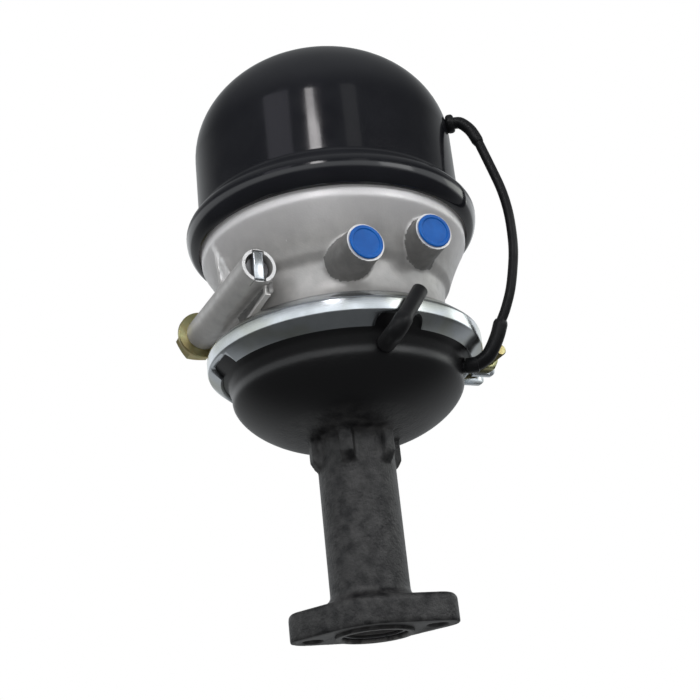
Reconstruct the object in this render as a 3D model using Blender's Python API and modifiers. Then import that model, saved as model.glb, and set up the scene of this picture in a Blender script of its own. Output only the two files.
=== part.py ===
"""Spring brake chamber with a long cast neck, as separate solids for its pieces.

Metres, +Z up. The origin is the centre of the face that bolts to the brake, and
X runs through the two bolt holes of the mounting flange. The chamber is shown with
no air in it, so the power spring holds the push rod out at its full stroke.
"""
import math

import bmesh
import bpy
from mathutils import Matrix, Vector

# Segments round the axis: large turned pieces, small ones, and bores
SEGMENTS = 36
SMALL_SEGMENTS = 20
BORE_SEGMENTS = 12
GAP = 0.0003
WELD_DISTANCE = 0.00001
SHARP_ANGLE = math.radians(40.0)

# Mounting flange and neck
FLANGE_THICKNESS = 0.018
FLANGE_EDGE = 0.0145
HOLE_SPACING = 0.078
HOLE_RADIUS = 0.0065
LOBE_RADIUS = 0.014
FLANGE_HUB_RADIUS = 0.033
SPIGOT_RADIUS = 0.0246
SPIGOT_HEIGHT = 0.002
NECK_RADIUS = 0.025
NECK_LENGTH = 0.124
NECK_FILLET = 0.003
SLEEVE_BORE_RADIUS = 0.0205
SLEEVE_RADIUS = 0.0170
SLEEVE_LAND = 0.012
SLEEVE_TOP = NECK_LENGTH - SLEEVE_LAND
NECK_RIB_COUNT = 6
NECK_RIB_REACH = 0.030
NECK_RIB_WIDTH = 0.009
NECK_RIB_DROP = 0.020
NECK_RIB_CHAMFER = 0.005
RIB_ROOT = 0.003

# Retaining ring at the mouth of the neck, which holds the guide sleeve up
RING_THICKNESS = 0.0015
RING_TOP_Z = 0.0020
RING_SEAT_RADIUS = 0.0218
RING_INNER_RADIUS = 0.0183
RING_LUG_RADIUS = 0.0034
RING_LUG_REACH = 0.0172
RING_EYE_RADIUS = 0.0012
RING_OPENING = math.radians(-77.0)
RING_LUG_SPREAD = math.radians(13.0)

# Bowl of the service side
CLAMP_RADIUS = 0.091
BOWL_STEP = 0.0148
BOWL_RADIUS = CLAMP_RADIUS - BOWL_STEP
BOWL_WALL = 0.0047
BOWL_DEPTH = 0.031
BOWL_SHOULDER_Z = NECK_LENGTH + BOWL_DEPTH
BOWL_FLOOR = 0.0065
BOWL_ROUNDNESS = 1.25
BOWL_NECK_RADIUS = 0.027
SPRING_SEAT_RADIUS = 0.034

# Joint of the two castings under the clamp
JOINT_RISE = 0.026
JOINT_Z = BOWL_SHOULDER_Z + JOINT_RISE
SERVICE_BEAD = 0.0026
JOINT_STEP = 0.0028
JOINT_TAPER = 0.009
CLAMP_DROP = 0.0012
CLAMP_Z = JOINT_Z - CLAMP_DROP
CLAMP_WEB = 0.0098
CLAMP_LEG_RUN = 0.008
CLAMP_LEG_RISE = 0.007
CLAMP_THICKNESS = 0.0023
CLAMP_NOTCHES = 3
NOTCH_WIDTH = 0.025
NOTCH_DEPTH = 0.0055
CLAMP_BOLT_AZIMUTH = math.radians(34.5)
BOLT_STAND = 0.0085
CLAMP_BOLT_REACH = CLAMP_RADIUS + BOLT_STAND
CLAMP_BOLT_RADIUS = 0.0039
CLAMP_BOLT_FRONT = 0.034
CLAMP_BOLT_HEAD = 0.0055
CLAMP_NUT_WIDTH = 0.013
CLAMP_NUT_HEIGHT = 0.0068
CLAMP_SPLIT = 0.013
EAR_THICKNESS = 0.003
EAR_MARGIN = 0.0075
EAR_REACH = CLAMP_BOLT_REACH + EAR_MARGIN
EAR_HEIGHT = 0.018

# Aluminium housing between the two chambers
WAIST_STEP = 0.0052
WAIST_RADIUS = BOWL_RADIUS - WAIST_STEP
WAIST_RISE = 0.022
WAIST_Z = JOINT_Z + WAIST_RISE
BELL_RISE = 0.051
BELL_Z = WAIST_Z + BELL_RISE
BELL_CURVE = 1.6
JOINT_FILLET_RUN = 0.007
UPPER_CORNER = 0.008
LOWER_MOUTH_STEP = 0.0007
LOWER_BORE_RADIUS = BOWL_RADIUS - LOWER_MOUTH_STEP
WAIST_WALL = 0.007
LOWER_CAVITY_RADIUS = WAIST_RADIUS - WAIST_WALL
PARTITION_RISE = 0.024
PARTITION_Z = WAIST_Z + PARTITION_RISE
PARTITION_THICKNESS = 0.019
UPPER_FLOOR_Z = PARTITION_Z + PARTITION_THICKNESS
HUB_RADIUS = 0.026
HUB_DROP = 0.005
LOWER_CORNER = 0.008

# Pressed steel spring housing and its rolled rim
SHELL = 0.003
DOME_RADIUS = 0.090
DOME_RISE = 0.070
RIM_STEP = 0.0095
RIM_RADIUS = DOME_RADIUS + RIM_STEP
RIM_CURL = 0.0076
RIM_STAND = 0.0065
RIM_BOTTOM_Z = BELL_Z + RIM_STAND
RIM_CURL_HEIGHT = 0.0135
RIM_TOP_Z = RIM_BOTTOM_Z + RIM_CURL_HEIGHT
RIM_FLARE_HEIGHT = 0.0165
RIM_FLARE_Z = RIM_TOP_Z + RIM_FLARE_HEIGHT
DOME_WALL_HEIGHT = 0.0445
DOME_SHOULDER_Z = RIM_FLARE_Z + DOME_WALL_HEIGHT
LIP_CLEARANCE = 0.0017
BELL_RADIUS = RIM_RADIUS - RIM_CURL - LIP_CLEARANCE
UPPER_WALL = 0.0082
UPPER_BORE_RADIUS = BELL_RADIUS - UPPER_WALL
BEAD_DEPTH = 0.004
BEAD_FLOOR_Z = RIM_TOP_Z - BEAD_DEPTH
FLARE_STEPS = 4
BEAD_STAND = 0.002
SPRING_BEAD_INNER = UPPER_BORE_RADIUS + BEAD_STAND
KEYHOLE_RADIUS = 0.011
DUST_PLUG_RADIUS = 0.0155
DUST_PLUG_HEAD = 0.0028

# Moving pieces
MEMBRANE = 0.0026
PLATE = 0.0030
PRESSURE_PLATE_MARGIN = 0.0115
PRESSURE_PLATE_RADIUS = UPPER_BORE_RADIUS - PRESSURE_PLATE_MARGIN
PRESSURE_PLATE_RIM = 0.013
CROWN_RISE = 0.012
CROWN_SLOPE = 0.004
ADAPTER_PLATE_RADIUS = 0.060
ADAPTER_RADIUS = 0.0140
ADAPTER_FOOT_RADIUS = 0.029
ADAPTER_FOOT = 0.008
EDGE_ROUND = 0.003
BUSH_WALL = 0.003
PUSH_PLATE_RADIUS = 0.050
PUSH_PLATE = 0.005
PUSH_PLATE_STAND = 0.015
PUSH_PLATE_Z = NECK_LENGTH + PUSH_PLATE_STAND
PUSH_PLATE_EDGE = 0.002
ADAPTER_FOOT_Z = PUSH_PLATE_Z + PUSH_PLATE + MEMBRANE + 2 * GAP
ROD_RADIUS = 0.011
ROD_HEAD = 0.026
ROD_END_Z = 0.014
ROD_CHAMFER = 0.001
ROD_SPIGOT_RADIUS = 0.0077
GUIDE_RING = 0.006
GUIDE_GROOVE_RADIUS = 0.0145
POWER_SPRING_WIRE = 0.0062
POWER_SPRING_BASE = 0.0605
POWER_SPRING_TOP = 0.047
POWER_SPRING_TURNS = 4.5
RETURN_SPRING_WIRE = 0.002
RETURN_SPRING_BASE = 0.030
RETURN_SPRING_TOP = 0.021
RETURN_SPRING_TURNS = 2.0
COIL_STEPS = 10
SPAN_STEPS = 2

# Ports, release stud pocket and its gusset, measured from the housing's axis
PORT_AZIMUTH = math.radians(-53.0)
PORT_STAND = 0.0018
PORT_FACE = BELL_RADIUS + PORT_STAND
PORT_ROOT_DEPTH = 0.011
PORT_ROOT = WAIST_RADIUS - PORT_ROOT_DEPTH
PORT_RADIUS = 0.0125
PORT_ROOT_RADIUS = 0.0155
PORT_BORE_RADIUS = 0.0082
PORT_BORE_DEPTH = 0.014
PORT_DRILL_RADIUS = 0.004
PORT_PLUG_RADIUS = 0.0112
PORT_PLUG_HEAD = 0.0014
SERVICE_PORT_LATERAL = -0.0243
SERVICE_PORT_RISE = 0.015
SERVICE_PORT_Z = WAIST_Z + SERVICE_PORT_RISE
SPRING_PORT_LATERAL = 0.0248
SPRING_PORT_RISE = 0.029
SPRING_PORT_Z = WAIST_Z + SPRING_PORT_RISE
POCKET_STAND = 0.008
POCKET_LATERAL = -(WAIST_RADIUS + POCKET_STAND)
POCKET_RISE = 0.012
POCKET_Z = WAIST_Z + POCKET_RISE
POCKET_RADIUS = 0.0112
POCKET_FRONT = 0.0535
POCKET_REAR = -0.0535
STUD_RADIUS = 0.0078
STUD_HEAD_LENGTH = 0.0204
STUD_HEAD_WIDTH = 0.0072
STUD_HEAD_DEPTH = 0.008
STUD_TAIL = 0.005
WASHER_RADIUS = 0.0165
WASHER_THICKNESS = 0.0035
STUD_NUT_WIDTH = 0.024
STUD_NUT_HEIGHT = 0.013
FILLET = 0.002
GUSSET_THICKNESS = 0.009
GUSSET_FRONT = -0.003
GUSSET_REAR = -0.029
GUSSET_TOP_FRONT = -0.030
GUSSET_TOP_REAR = -0.040
GUSSET_TIP = 0.005
WEB_THICKNESS = 0.005
WEB_CLEARANCE = 0.0012
WEB_FOOT = 0.012
WEB_REAR = -0.032

# Breather hose and elbows
HOSE_RADIUS = 0.00325
ELBOW_RADIUS = 0.0041
FOOT_RADIUS = 0.0048
ELBOW_COLLAR_RADIUS = 0.0075
HOLE_CLEARANCE = 0.0003
VENT_AZIMUTH = math.radians(-60.7)
VENT_DROP = 0.022
VENT_Z = JOINT_Z - VENT_DROP
VENT_RADIUS = 0.0050
VENT_BODY_RADIUS = 0.0058
VENT_CLEARANCE = 0.0012
VENT_REACH = CLAMP_RADIUS + VENT_BODY_RADIUS + VENT_CLEARANCE
VENT_BORE_RADIUS = 0.0035
VENT_TIP_AZIMUTH = math.radians(-49.5)
VENT_TIP_RISE = 0.006
VENT_TIP_Z = JOINT_Z + VENT_TIP_RISE
DOME_ELBOW_RISE = 0.007
DOME_ELBOW_Z = DOME_SHOULDER_Z + DOME_ELBOW_RISE
BOWL_ELBOW_DROP = 0.0195
BOWL_ELBOW_Z = JOINT_Z - BOWL_ELBOW_DROP
ELBOW_COLLAR = 0.002
ELBOW_RUN = 0.006
BOWL_COLLAR_RADIUS = 0.0052
BOWL_COLLAR_STAND = 0.0027
BOWL_COLLAR_LENGTH = 0.008
VENT_COLLAR_STAND = 0.0018
# Curves of the hose and its elbows, as (stand-out from the wall, height over the elbow)
DOME_ELBOW_CURVE = ((0.0100, -0.0015), (0.0155, -0.0085), (0.0195, -0.0190))
HOSE_UPPER_CURVE = ((0.0197, -0.0195), (0.0257, -0.0423), (0.0296, -0.0588), (0.0316, -0.0747),
                    (0.0318, -0.0900))
HOSE_LOWER_CURVE = ((0.0446, 0.0757), (0.0420, 0.0616), (0.0384, 0.0477), (0.0334, 0.0350),
                    (0.02935, 0.0272))
BOWL_ELBOW_CURVE = ((0.0174, 0.0047), (0.0246, 0.0157), (0.0290, 0.0265))

PART = bpy.data.collections.new("brake_chamber")
CUTTERS = bpy.data.collections.new("cutters")

FINISHES = {
    "dome_enamel": ((0.012, 0.013, 0.016), 0.25, 0.0),
    "cast_aluminium": ((0.42, 0.41, 0.39), 0.5, 0.9),
    "cast_black": ((0.016, 0.016, 0.017), 0.55, 0.0),
    "zinc_plate": ((0.62, 0.66, 0.68), 0.3, 1.0),
    "yellow_zinc": ((0.55, 0.45, 0.20), 0.35, 1.0),
    "spring_steel": ((0.10, 0.10, 0.11), 0.4, 0.8),
    "turned_steel": ((0.50, 0.50, 0.51), 0.3, 1.0),
    "black_rubber": ((0.015, 0.015, 0.016), 0.6, 0.0),
    "blue_plastic": ((0.01, 0.13, 0.55), 0.4, 0.0),
    "guide_plastic": ((0.05, 0.05, 0.05), 0.5, 0.0),
}


def finish(name):
    """Return the material of one finish, made once."""
    material = bpy.data.materials.get(name)
    if material is None:
        colour, roughness, metallic = FINISHES[name]
        material = bpy.data.materials.new(name)
        material.use_nodes = True
        shader = material.node_tree.nodes["Principled BSDF"]
        shader.inputs["Base Color"].default_value = (*colour, 1.0)
        shader.inputs["Roughness"].default_value = roughness
        shader.inputs["Metallic"].default_value = metallic
        material.diffuse_color = (*colour, 1.0)
    return material


def add_object(name, bm, look):
    """Link a bmesh as an object: a part with its finish, or a cutter without one."""
    mesh = bpy.data.meshes.new(name)
    bm.to_mesh(mesh)
    bm.free()
    mesh.shade_smooth()
    mesh.set_sharp_from_angle(angle=SHARP_ANGLE)
    obj = bpy.data.objects.new(name, mesh)
    if look is None:
        CUTTERS.objects.link(obj)
        obj.hide_render = True
        obj.display_type = "WIRE"
    else:
        PART.objects.link(obj)
        mesh.materials.append(finish(look))
    return obj


def turned(name, profile, look=None, segments=SEGMENTS):
    """Turn a profile about Z. It runs down the outer side, and closes if off the axis."""
    bm = bmesh.new()
    verts = [bm.verts.new((radius, 0.0, height)) for radius, height in profile]
    pairs = list(zip(verts, verts[1:]))
    if profile[0][0] > GAP:
        pairs.append((verts[-1], verts[0]))
    for start, end in pairs:
        bm.edges.new((start, end))
    obj = add_object(name, bm, look)
    screw = obj.modifiers.new("turn", "SCREW")
    screw.axis = "Z"
    screw.steps = segments
    screw.render_steps = segments
    screw.use_merge_vertices = True
    screw.merge_threshold = WELD_DISTANCE
    return obj


def drum(top, bottom, radius):
    """Profile of a plain solid cylinder for turned()."""
    return [(0.0, top), (radius, top), (radius, bottom), (0.0, bottom)]


def sleeve(top, bottom, outer, inner):
    """Profile of a plain ring for turned()."""
    return [(outer, top), (outer, bottom), (inner, bottom), (inner, top)]


def placed(azimuth, along, lateral, height):
    """Matrix of a frame turned by azimuth whose X points away from the axis."""
    return Matrix.Rotation(azimuth, 4, "Z") @ Matrix.Translation((along, lateral, height))


def rod_along(name, start, end, radius, azimuth, lateral, height,
              look=None, end_radius=None, segments=BORE_SEGMENTS):
    """Cylinder or cone that runs outward, square to the axis, from start to end."""
    bm = bmesh.new()
    matrix = placed(azimuth, (start + end) / 2, lateral, height)
    bmesh.ops.create_cone(
        bm, cap_ends=True, segments=segments, radius1=radius,
        radius2=radius if end_radius is None else end_radius, depth=end - start,
        matrix=matrix @ Matrix.Rotation(math.pi / 2, 4, "Y"))
    return add_object(name, bm, look)


def block(name, low, high, azimuth=0.0, look=None):
    """Box between two corners given in the frame turned by azimuth."""
    low, high = Vector(low), Vector(high)
    bm = bmesh.new()
    matrix = placed(azimuth, *((low + high) / 2))
    bmesh.ops.create_cube(bm, size=1.0, matrix=matrix @ Matrix.Diagonal((*(high - low), 1.0)))
    return add_object(name, bm, look)


def prism(name, outline, depth, matrix, look=None):
    """Extrude an outline of (x, y) points by depth along Z, then place it."""
    bm = bmesh.new()
    face = bm.faces.new([bm.verts.new((x, y, 0.0)) for x, y in outline])
    moved = bmesh.ops.extrude_face_region(bm, geom=[face])["geom"]
    verts = [item for item in moved if isinstance(item, bmesh.types.BMVert)]
    bmesh.ops.translate(bm, verts=verts, vec=(0.0, 0.0, depth))
    bmesh.ops.recalc_face_normals(bm, faces=bm.faces)
    bmesh.ops.transform(bm, matrix=matrix, verts=bm.verts)
    return add_object(name, bm, look)


def combine(obj, other, operation):
    """Add an exact Boolean of a cutter, a guide or another piece to an object."""
    modifier = obj.modifiers.new(other.name, "BOOLEAN")
    modifier.operation = operation
    modifier.solver = "EXACT"
    modifier.object = other


def weld(obj):
    """Close the hair-thin slivers that a chain of Booleans leaves."""
    modifier = obj.modifiers.new("weld", "WELD")
    modifier.merge_threshold = 2 * WELD_DISTANCE


def arc(centre, radii, start, end, steps):
    """Points of an elliptic arc, with its angles in degrees."""
    points = []
    for step in range(steps + 1):
        angle = math.radians(start + (end - start) * step / steps)
        points.append((centre[0] + radii[0] * math.cos(angle),
                       centre[1] + radii[1] * math.sin(angle)))
    return points


def offset(path, distance):
    """Shift a profile path to its right side, towards the axis on a way down."""
    shifted = []
    for index, point in enumerate(path):
        before = Vector(path[max(index - 1, 0)])
        after = Vector(path[min(index + 1, len(path) - 1)])
        here = Vector(point)
        normals = []
        for start, end in ((before, here), (here, after)):
            step = end - start
            if step.length > 0.0:
                normals.append(Vector((step.y, -step.x)).normalized())
        normal = sum(normals, Vector((0.0, 0.0))).normalized()
        scale = distance / normal.dot(normals[0])
        shifted.append(tuple(here + normal * scale))
    return shifted


def clamp_path():
    """Outer side of the clamp's section, from its upper leg to its lower one."""
    half = CLAMP_WEB / 2
    inner = CLAMP_RADIUS - CLAMP_LEG_RUN
    return [(inner, CLAMP_Z + half + CLAMP_LEG_RISE), (CLAMP_RADIUS, CLAMP_Z + half),
            (CLAMP_RADIUS, CLAMP_Z - half), (inner, CLAMP_Z - half - CLAMP_LEG_RISE)]


def joint_seat():
    """Corners of the two joint flanges where the clamp's legs bear on them."""
    return offset(clamp_path(), CLAMP_THICKNESS + GAP)[1:3]


def seat_slope_z(radius):
    """Height over the clamp's middle of a flange's sloping face at a radius."""
    corner = joint_seat()[0]
    return corner[1] - CLAMP_Z + (corner[0] - radius) * CLAMP_LEG_RISE / CLAMP_LEG_RUN


def rim_path():
    """Outer side of the rolled rim, from the wall of the dome to the curl's lip."""
    path = []
    for step in range(FLARE_STEPS + 1):
        share = step / FLARE_STEPS
        radius = DOME_RADIUS + (RIM_RADIUS - DOME_RADIUS) * math.sin(share * math.pi / 2)
        path.append((radius, RIM_FLARE_Z + (RIM_TOP_Z - RIM_FLARE_Z) * share))
    path += arc((RIM_RADIUS - RIM_CURL, RIM_TOP_Z), (RIM_CURL, RIM_TOP_Z - RIM_BOTTOM_Z), 0, -90, 3)[1:]
    return path


def bowl_outside():
    """Outer side of the bowl, from under the joint to the neck."""
    start = CLAMP_Z - seat_slope_z(BOWL_RADIUS + JOINT_STEP)
    path = [(BOWL_RADIUS + JOINT_STEP, start), (BOWL_RADIUS, start - JOINT_TAPER)]
    for angle in range(0, 91, 15):
        across = max(math.cos(math.radians(angle)), 0.0) ** BOWL_ROUNDNESS
        down = math.sin(math.radians(angle)) ** BOWL_ROUNDNESS
        path.append((BOWL_NECK_RADIUS + (BOWL_RADIUS - BOWL_NECK_RADIUS) * across,
                     BOWL_SHOULDER_Z - (BOWL_SHOULDER_Z - NECK_LENGTH) * down))
    return path


def bowl_inside():
    """Inner side of the bowl, from its floor up to the joint."""
    floor = NECK_LENGTH + BOWL_FLOOR
    inner = BOWL_RADIUS - BOWL_WALL
    path = []
    for angle in range(90, -1, -18):
        across = max(math.cos(math.radians(angle)), 0.0) ** BOWL_ROUNDNESS
        down = math.sin(math.radians(angle)) ** BOWL_ROUNDNESS
        path.append((SPRING_SEAT_RADIUS + (inner - SPRING_SEAT_RADIUS) * across,
                     BOWL_SHOULDER_Z - (BOWL_SHOULDER_Z - floor) * down))
    return path


def lobe_outline():
    """Outline of the mounting flange: two round lobes joined to a hub by tangents."""
    centre = HOLE_SPACING / 2
    swing = math.degrees(math.acos((FLANGE_HUB_RADIUS - LOBE_RADIUS) / centre))
    outline = arc((centre, 0.0), (LOBE_RADIUS, LOBE_RADIUS), -swing, swing, 6)
    outline += arc((0.0, 0.0), (FLANGE_HUB_RADIUS, FLANGE_HUB_RADIUS), swing, 180 - swing, 4)
    outline += arc((-centre, 0.0), (LOBE_RADIUS, LOBE_RADIUS), 180 - swing, 180 + swing, 6)
    outline += arc((0.0, 0.0), (FLANGE_HUB_RADIUS, FLANGE_HUB_RADIUS), 180 + swing, 360 - swing, 4)
    return outline


def build_bowl_housing():
    """Cast bowl, neck and mounting flange in one piece, with its bores and ribs."""
    seat = joint_seat()[1]
    top = JOINT_Z - SERVICE_BEAD / 2 - GAP
    outside = [(0.0, top), (seat[0], top), seat, *bowl_outside()]
    neck = [(NECK_RADIUS, NECK_LENGTH - NECK_FILLET),
            (NECK_RADIUS, FLANGE_THICKNESS + NECK_FILLET),
            (NECK_RADIUS + NECK_FILLET, FLANGE_THICKNESS),
            (NECK_RADIUS + NECK_FILLET, FLANGE_THICKNESS / 2),
            (SPIGOT_RADIUS, FLANGE_THICKNESS / 2),
            (SPIGOT_RADIUS, -SPIGOT_HEIGHT), (0.0, -SPIGOT_HEIGHT)]
    housing = turned("bowl_housing", outside + neck, "cast_black")

    flange = prism("flange_blank", lobe_outline(), FLANGE_EDGE, Matrix.Identity(4))
    crown = prism("flange_crown", lobe_outline(), FLANGE_THICKNESS - FLANGE_EDGE,
                  Matrix.Translation((0.0, 0.0, FLANGE_EDGE)))
    for vert in crown.data.vertices:
        if vert.co.z > FLANGE_EDGE:
            vert.co.x *= 1 - NECK_FILLET / (HOLE_SPACING / 2 + LOBE_RADIUS)
            vert.co.y *= 1 - NECK_FILLET / FLANGE_HUB_RADIUS
    weld_pair(flange, crown)
    combine(housing, flange, "UNION")
    for index in range(NECK_RIB_COUNT):
        azimuth = math.radians(30 + index * 360 / NECK_RIB_COUNT)
        low = NECK_LENGTH - NECK_RIB_DROP
        inner = NECK_RADIUS - RIB_ROOT
        outline = [(inner, low), (NECK_RIB_REACH - RIB_ROOT, low),
                   (NECK_RIB_REACH, low + NECK_RIB_CHAMFER),
                   (NECK_RIB_REACH, NECK_LENGTH + RIB_ROOT), (inner, NECK_LENGTH + RIB_ROOT)]
        matrix = (Matrix.Rotation(azimuth, 4, "Z") @ Matrix.Translation((0, NECK_RIB_WIDTH / 2, 0))
                  @ Matrix.Rotation(math.pi / 2, 4, "X"))
        combine(housing, prism(f"neck_rib_{index}", outline, NECK_RIB_WIDTH, matrix), "UNION")

    groove_top = RING_TOP_Z + GAP
    cavity = [(0.0, JOINT_Z), (BOWL_RADIUS - BOWL_WALL, JOINT_Z), *reversed(bowl_inside()),
              (SLEEVE_RADIUS + GAP, NECK_LENGTH + BOWL_FLOOR),
              (SLEEVE_RADIUS + GAP, SLEEVE_TOP), (SLEEVE_BORE_RADIUS, SLEEVE_TOP),
              (SLEEVE_BORE_RADIUS, groove_top), (RING_SEAT_RADIUS, groove_top),
              (RING_SEAT_RADIUS, RING_TOP_Z - RING_THICKNESS - GAP),
              (SLEEVE_BORE_RADIUS, RING_TOP_Z - RING_THICKNESS - GAP),
              (SLEEVE_BORE_RADIUS, -2 * SPIGOT_HEIGHT), (0.0, -2 * SPIGOT_HEIGHT)]
    combine(housing, turned("bowl_cavity", cavity), "DIFFERENCE")
    for side in (-1, 1):
        hole = turned(f"bolt_hole_{side + 1}",
                      drum(2 * FLANGE_THICKNESS, -FLANGE_THICKNESS, HOLE_RADIUS),
                      segments=BORE_SEGMENTS)
        hole.location.x = side * HOLE_SPACING / 2
        combine(housing, hole, "DIFFERENCE")
    combine(housing, rod_along("bowl_elbow_hole", BOWL_RADIUS / 2, 2 * BOWL_RADIUS,
                               ELBOW_RADIUS + HOLE_CLEARANCE, 0.0, 0.0, BOWL_ELBOW_Z), "DIFFERENCE")
    combine(housing, rod_along("vent_hole", BOWL_RADIUS / 2, 2 * BOWL_RADIUS,
                               ELBOW_RADIUS + HOLE_CLEARANCE, VENT_AZIMUTH, 0.0, VENT_Z), "DIFFERENCE")
    weld(housing)


def weld_pair(lower, upper):
    """Move the upper blank's faces into the lower one and weld the seam."""
    bm = bmesh.new()
    bm.from_mesh(lower.data)
    bm.from_mesh(upper.data)
    seam = [face for face in bm.faces if all(abs(v.co.z - FLANGE_EDGE) < GAP for v in face.verts)]
    bmesh.ops.delete(bm, geom=seam, context="FACES")
    bmesh.ops.remove_doubles(bm, verts=bm.verts, dist=WELD_DISTANCE)
    bm.to_mesh(lower.data)
    bm.free()
    bpy.data.objects.remove(upper)


def build_neck_fittings():
    """Guide sleeve in the neck, and the sprung ring with two eyes that keeps it there."""
    turned("guide_sleeve", sleeve(SLEEVE_TOP - GAP, RING_TOP_Z + GAP,
                                  SLEEVE_BORE_RADIUS - GAP, SLEEVE_RADIUS),
           "guide_plastic", SMALL_SEGMENTS)
    bottom = RING_TOP_Z - RING_THICKNESS
    ring = turned("retaining_ring", sleeve(RING_TOP_Z, bottom, RING_SEAT_RADIUS - GAP,
                                           RING_INNER_RADIUS), "turned_steel", SMALL_SEGMENTS)
    half = RING_LUG_REACH * math.sin(RING_LUG_SPREAD)
    slot = half - RING_LUG_RADIUS
    combine(ring, block("ring_opening", (RING_LUG_REACH / 2, -slot, bottom - GAP),
                        (2 * RING_SEAT_RADIUS, slot, RING_TOP_Z + GAP), RING_OPENING), "DIFFERENCE")
    for side in (-1, 1):
        place = placed(RING_OPENING + side * RING_LUG_SPREAD, RING_LUG_REACH, 0.0, 0.0)
        lug = turned(f"ring_lug_{side + 1}", drum(RING_TOP_Z - GAP / 3, bottom + GAP / 3,
                                                  RING_LUG_RADIUS), segments=10)
        lug.matrix_world = place
        combine(ring, lug, "UNION")
        eye = turned(f"ring_eye_{side + 1}", drum(RING_TOP_Z + GAP, bottom - GAP, RING_EYE_RADIUS),
                     segments=6)
        eye.matrix_world = place
        combine(ring, eye, "DIFFERENCE")
    weld(ring)


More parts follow.
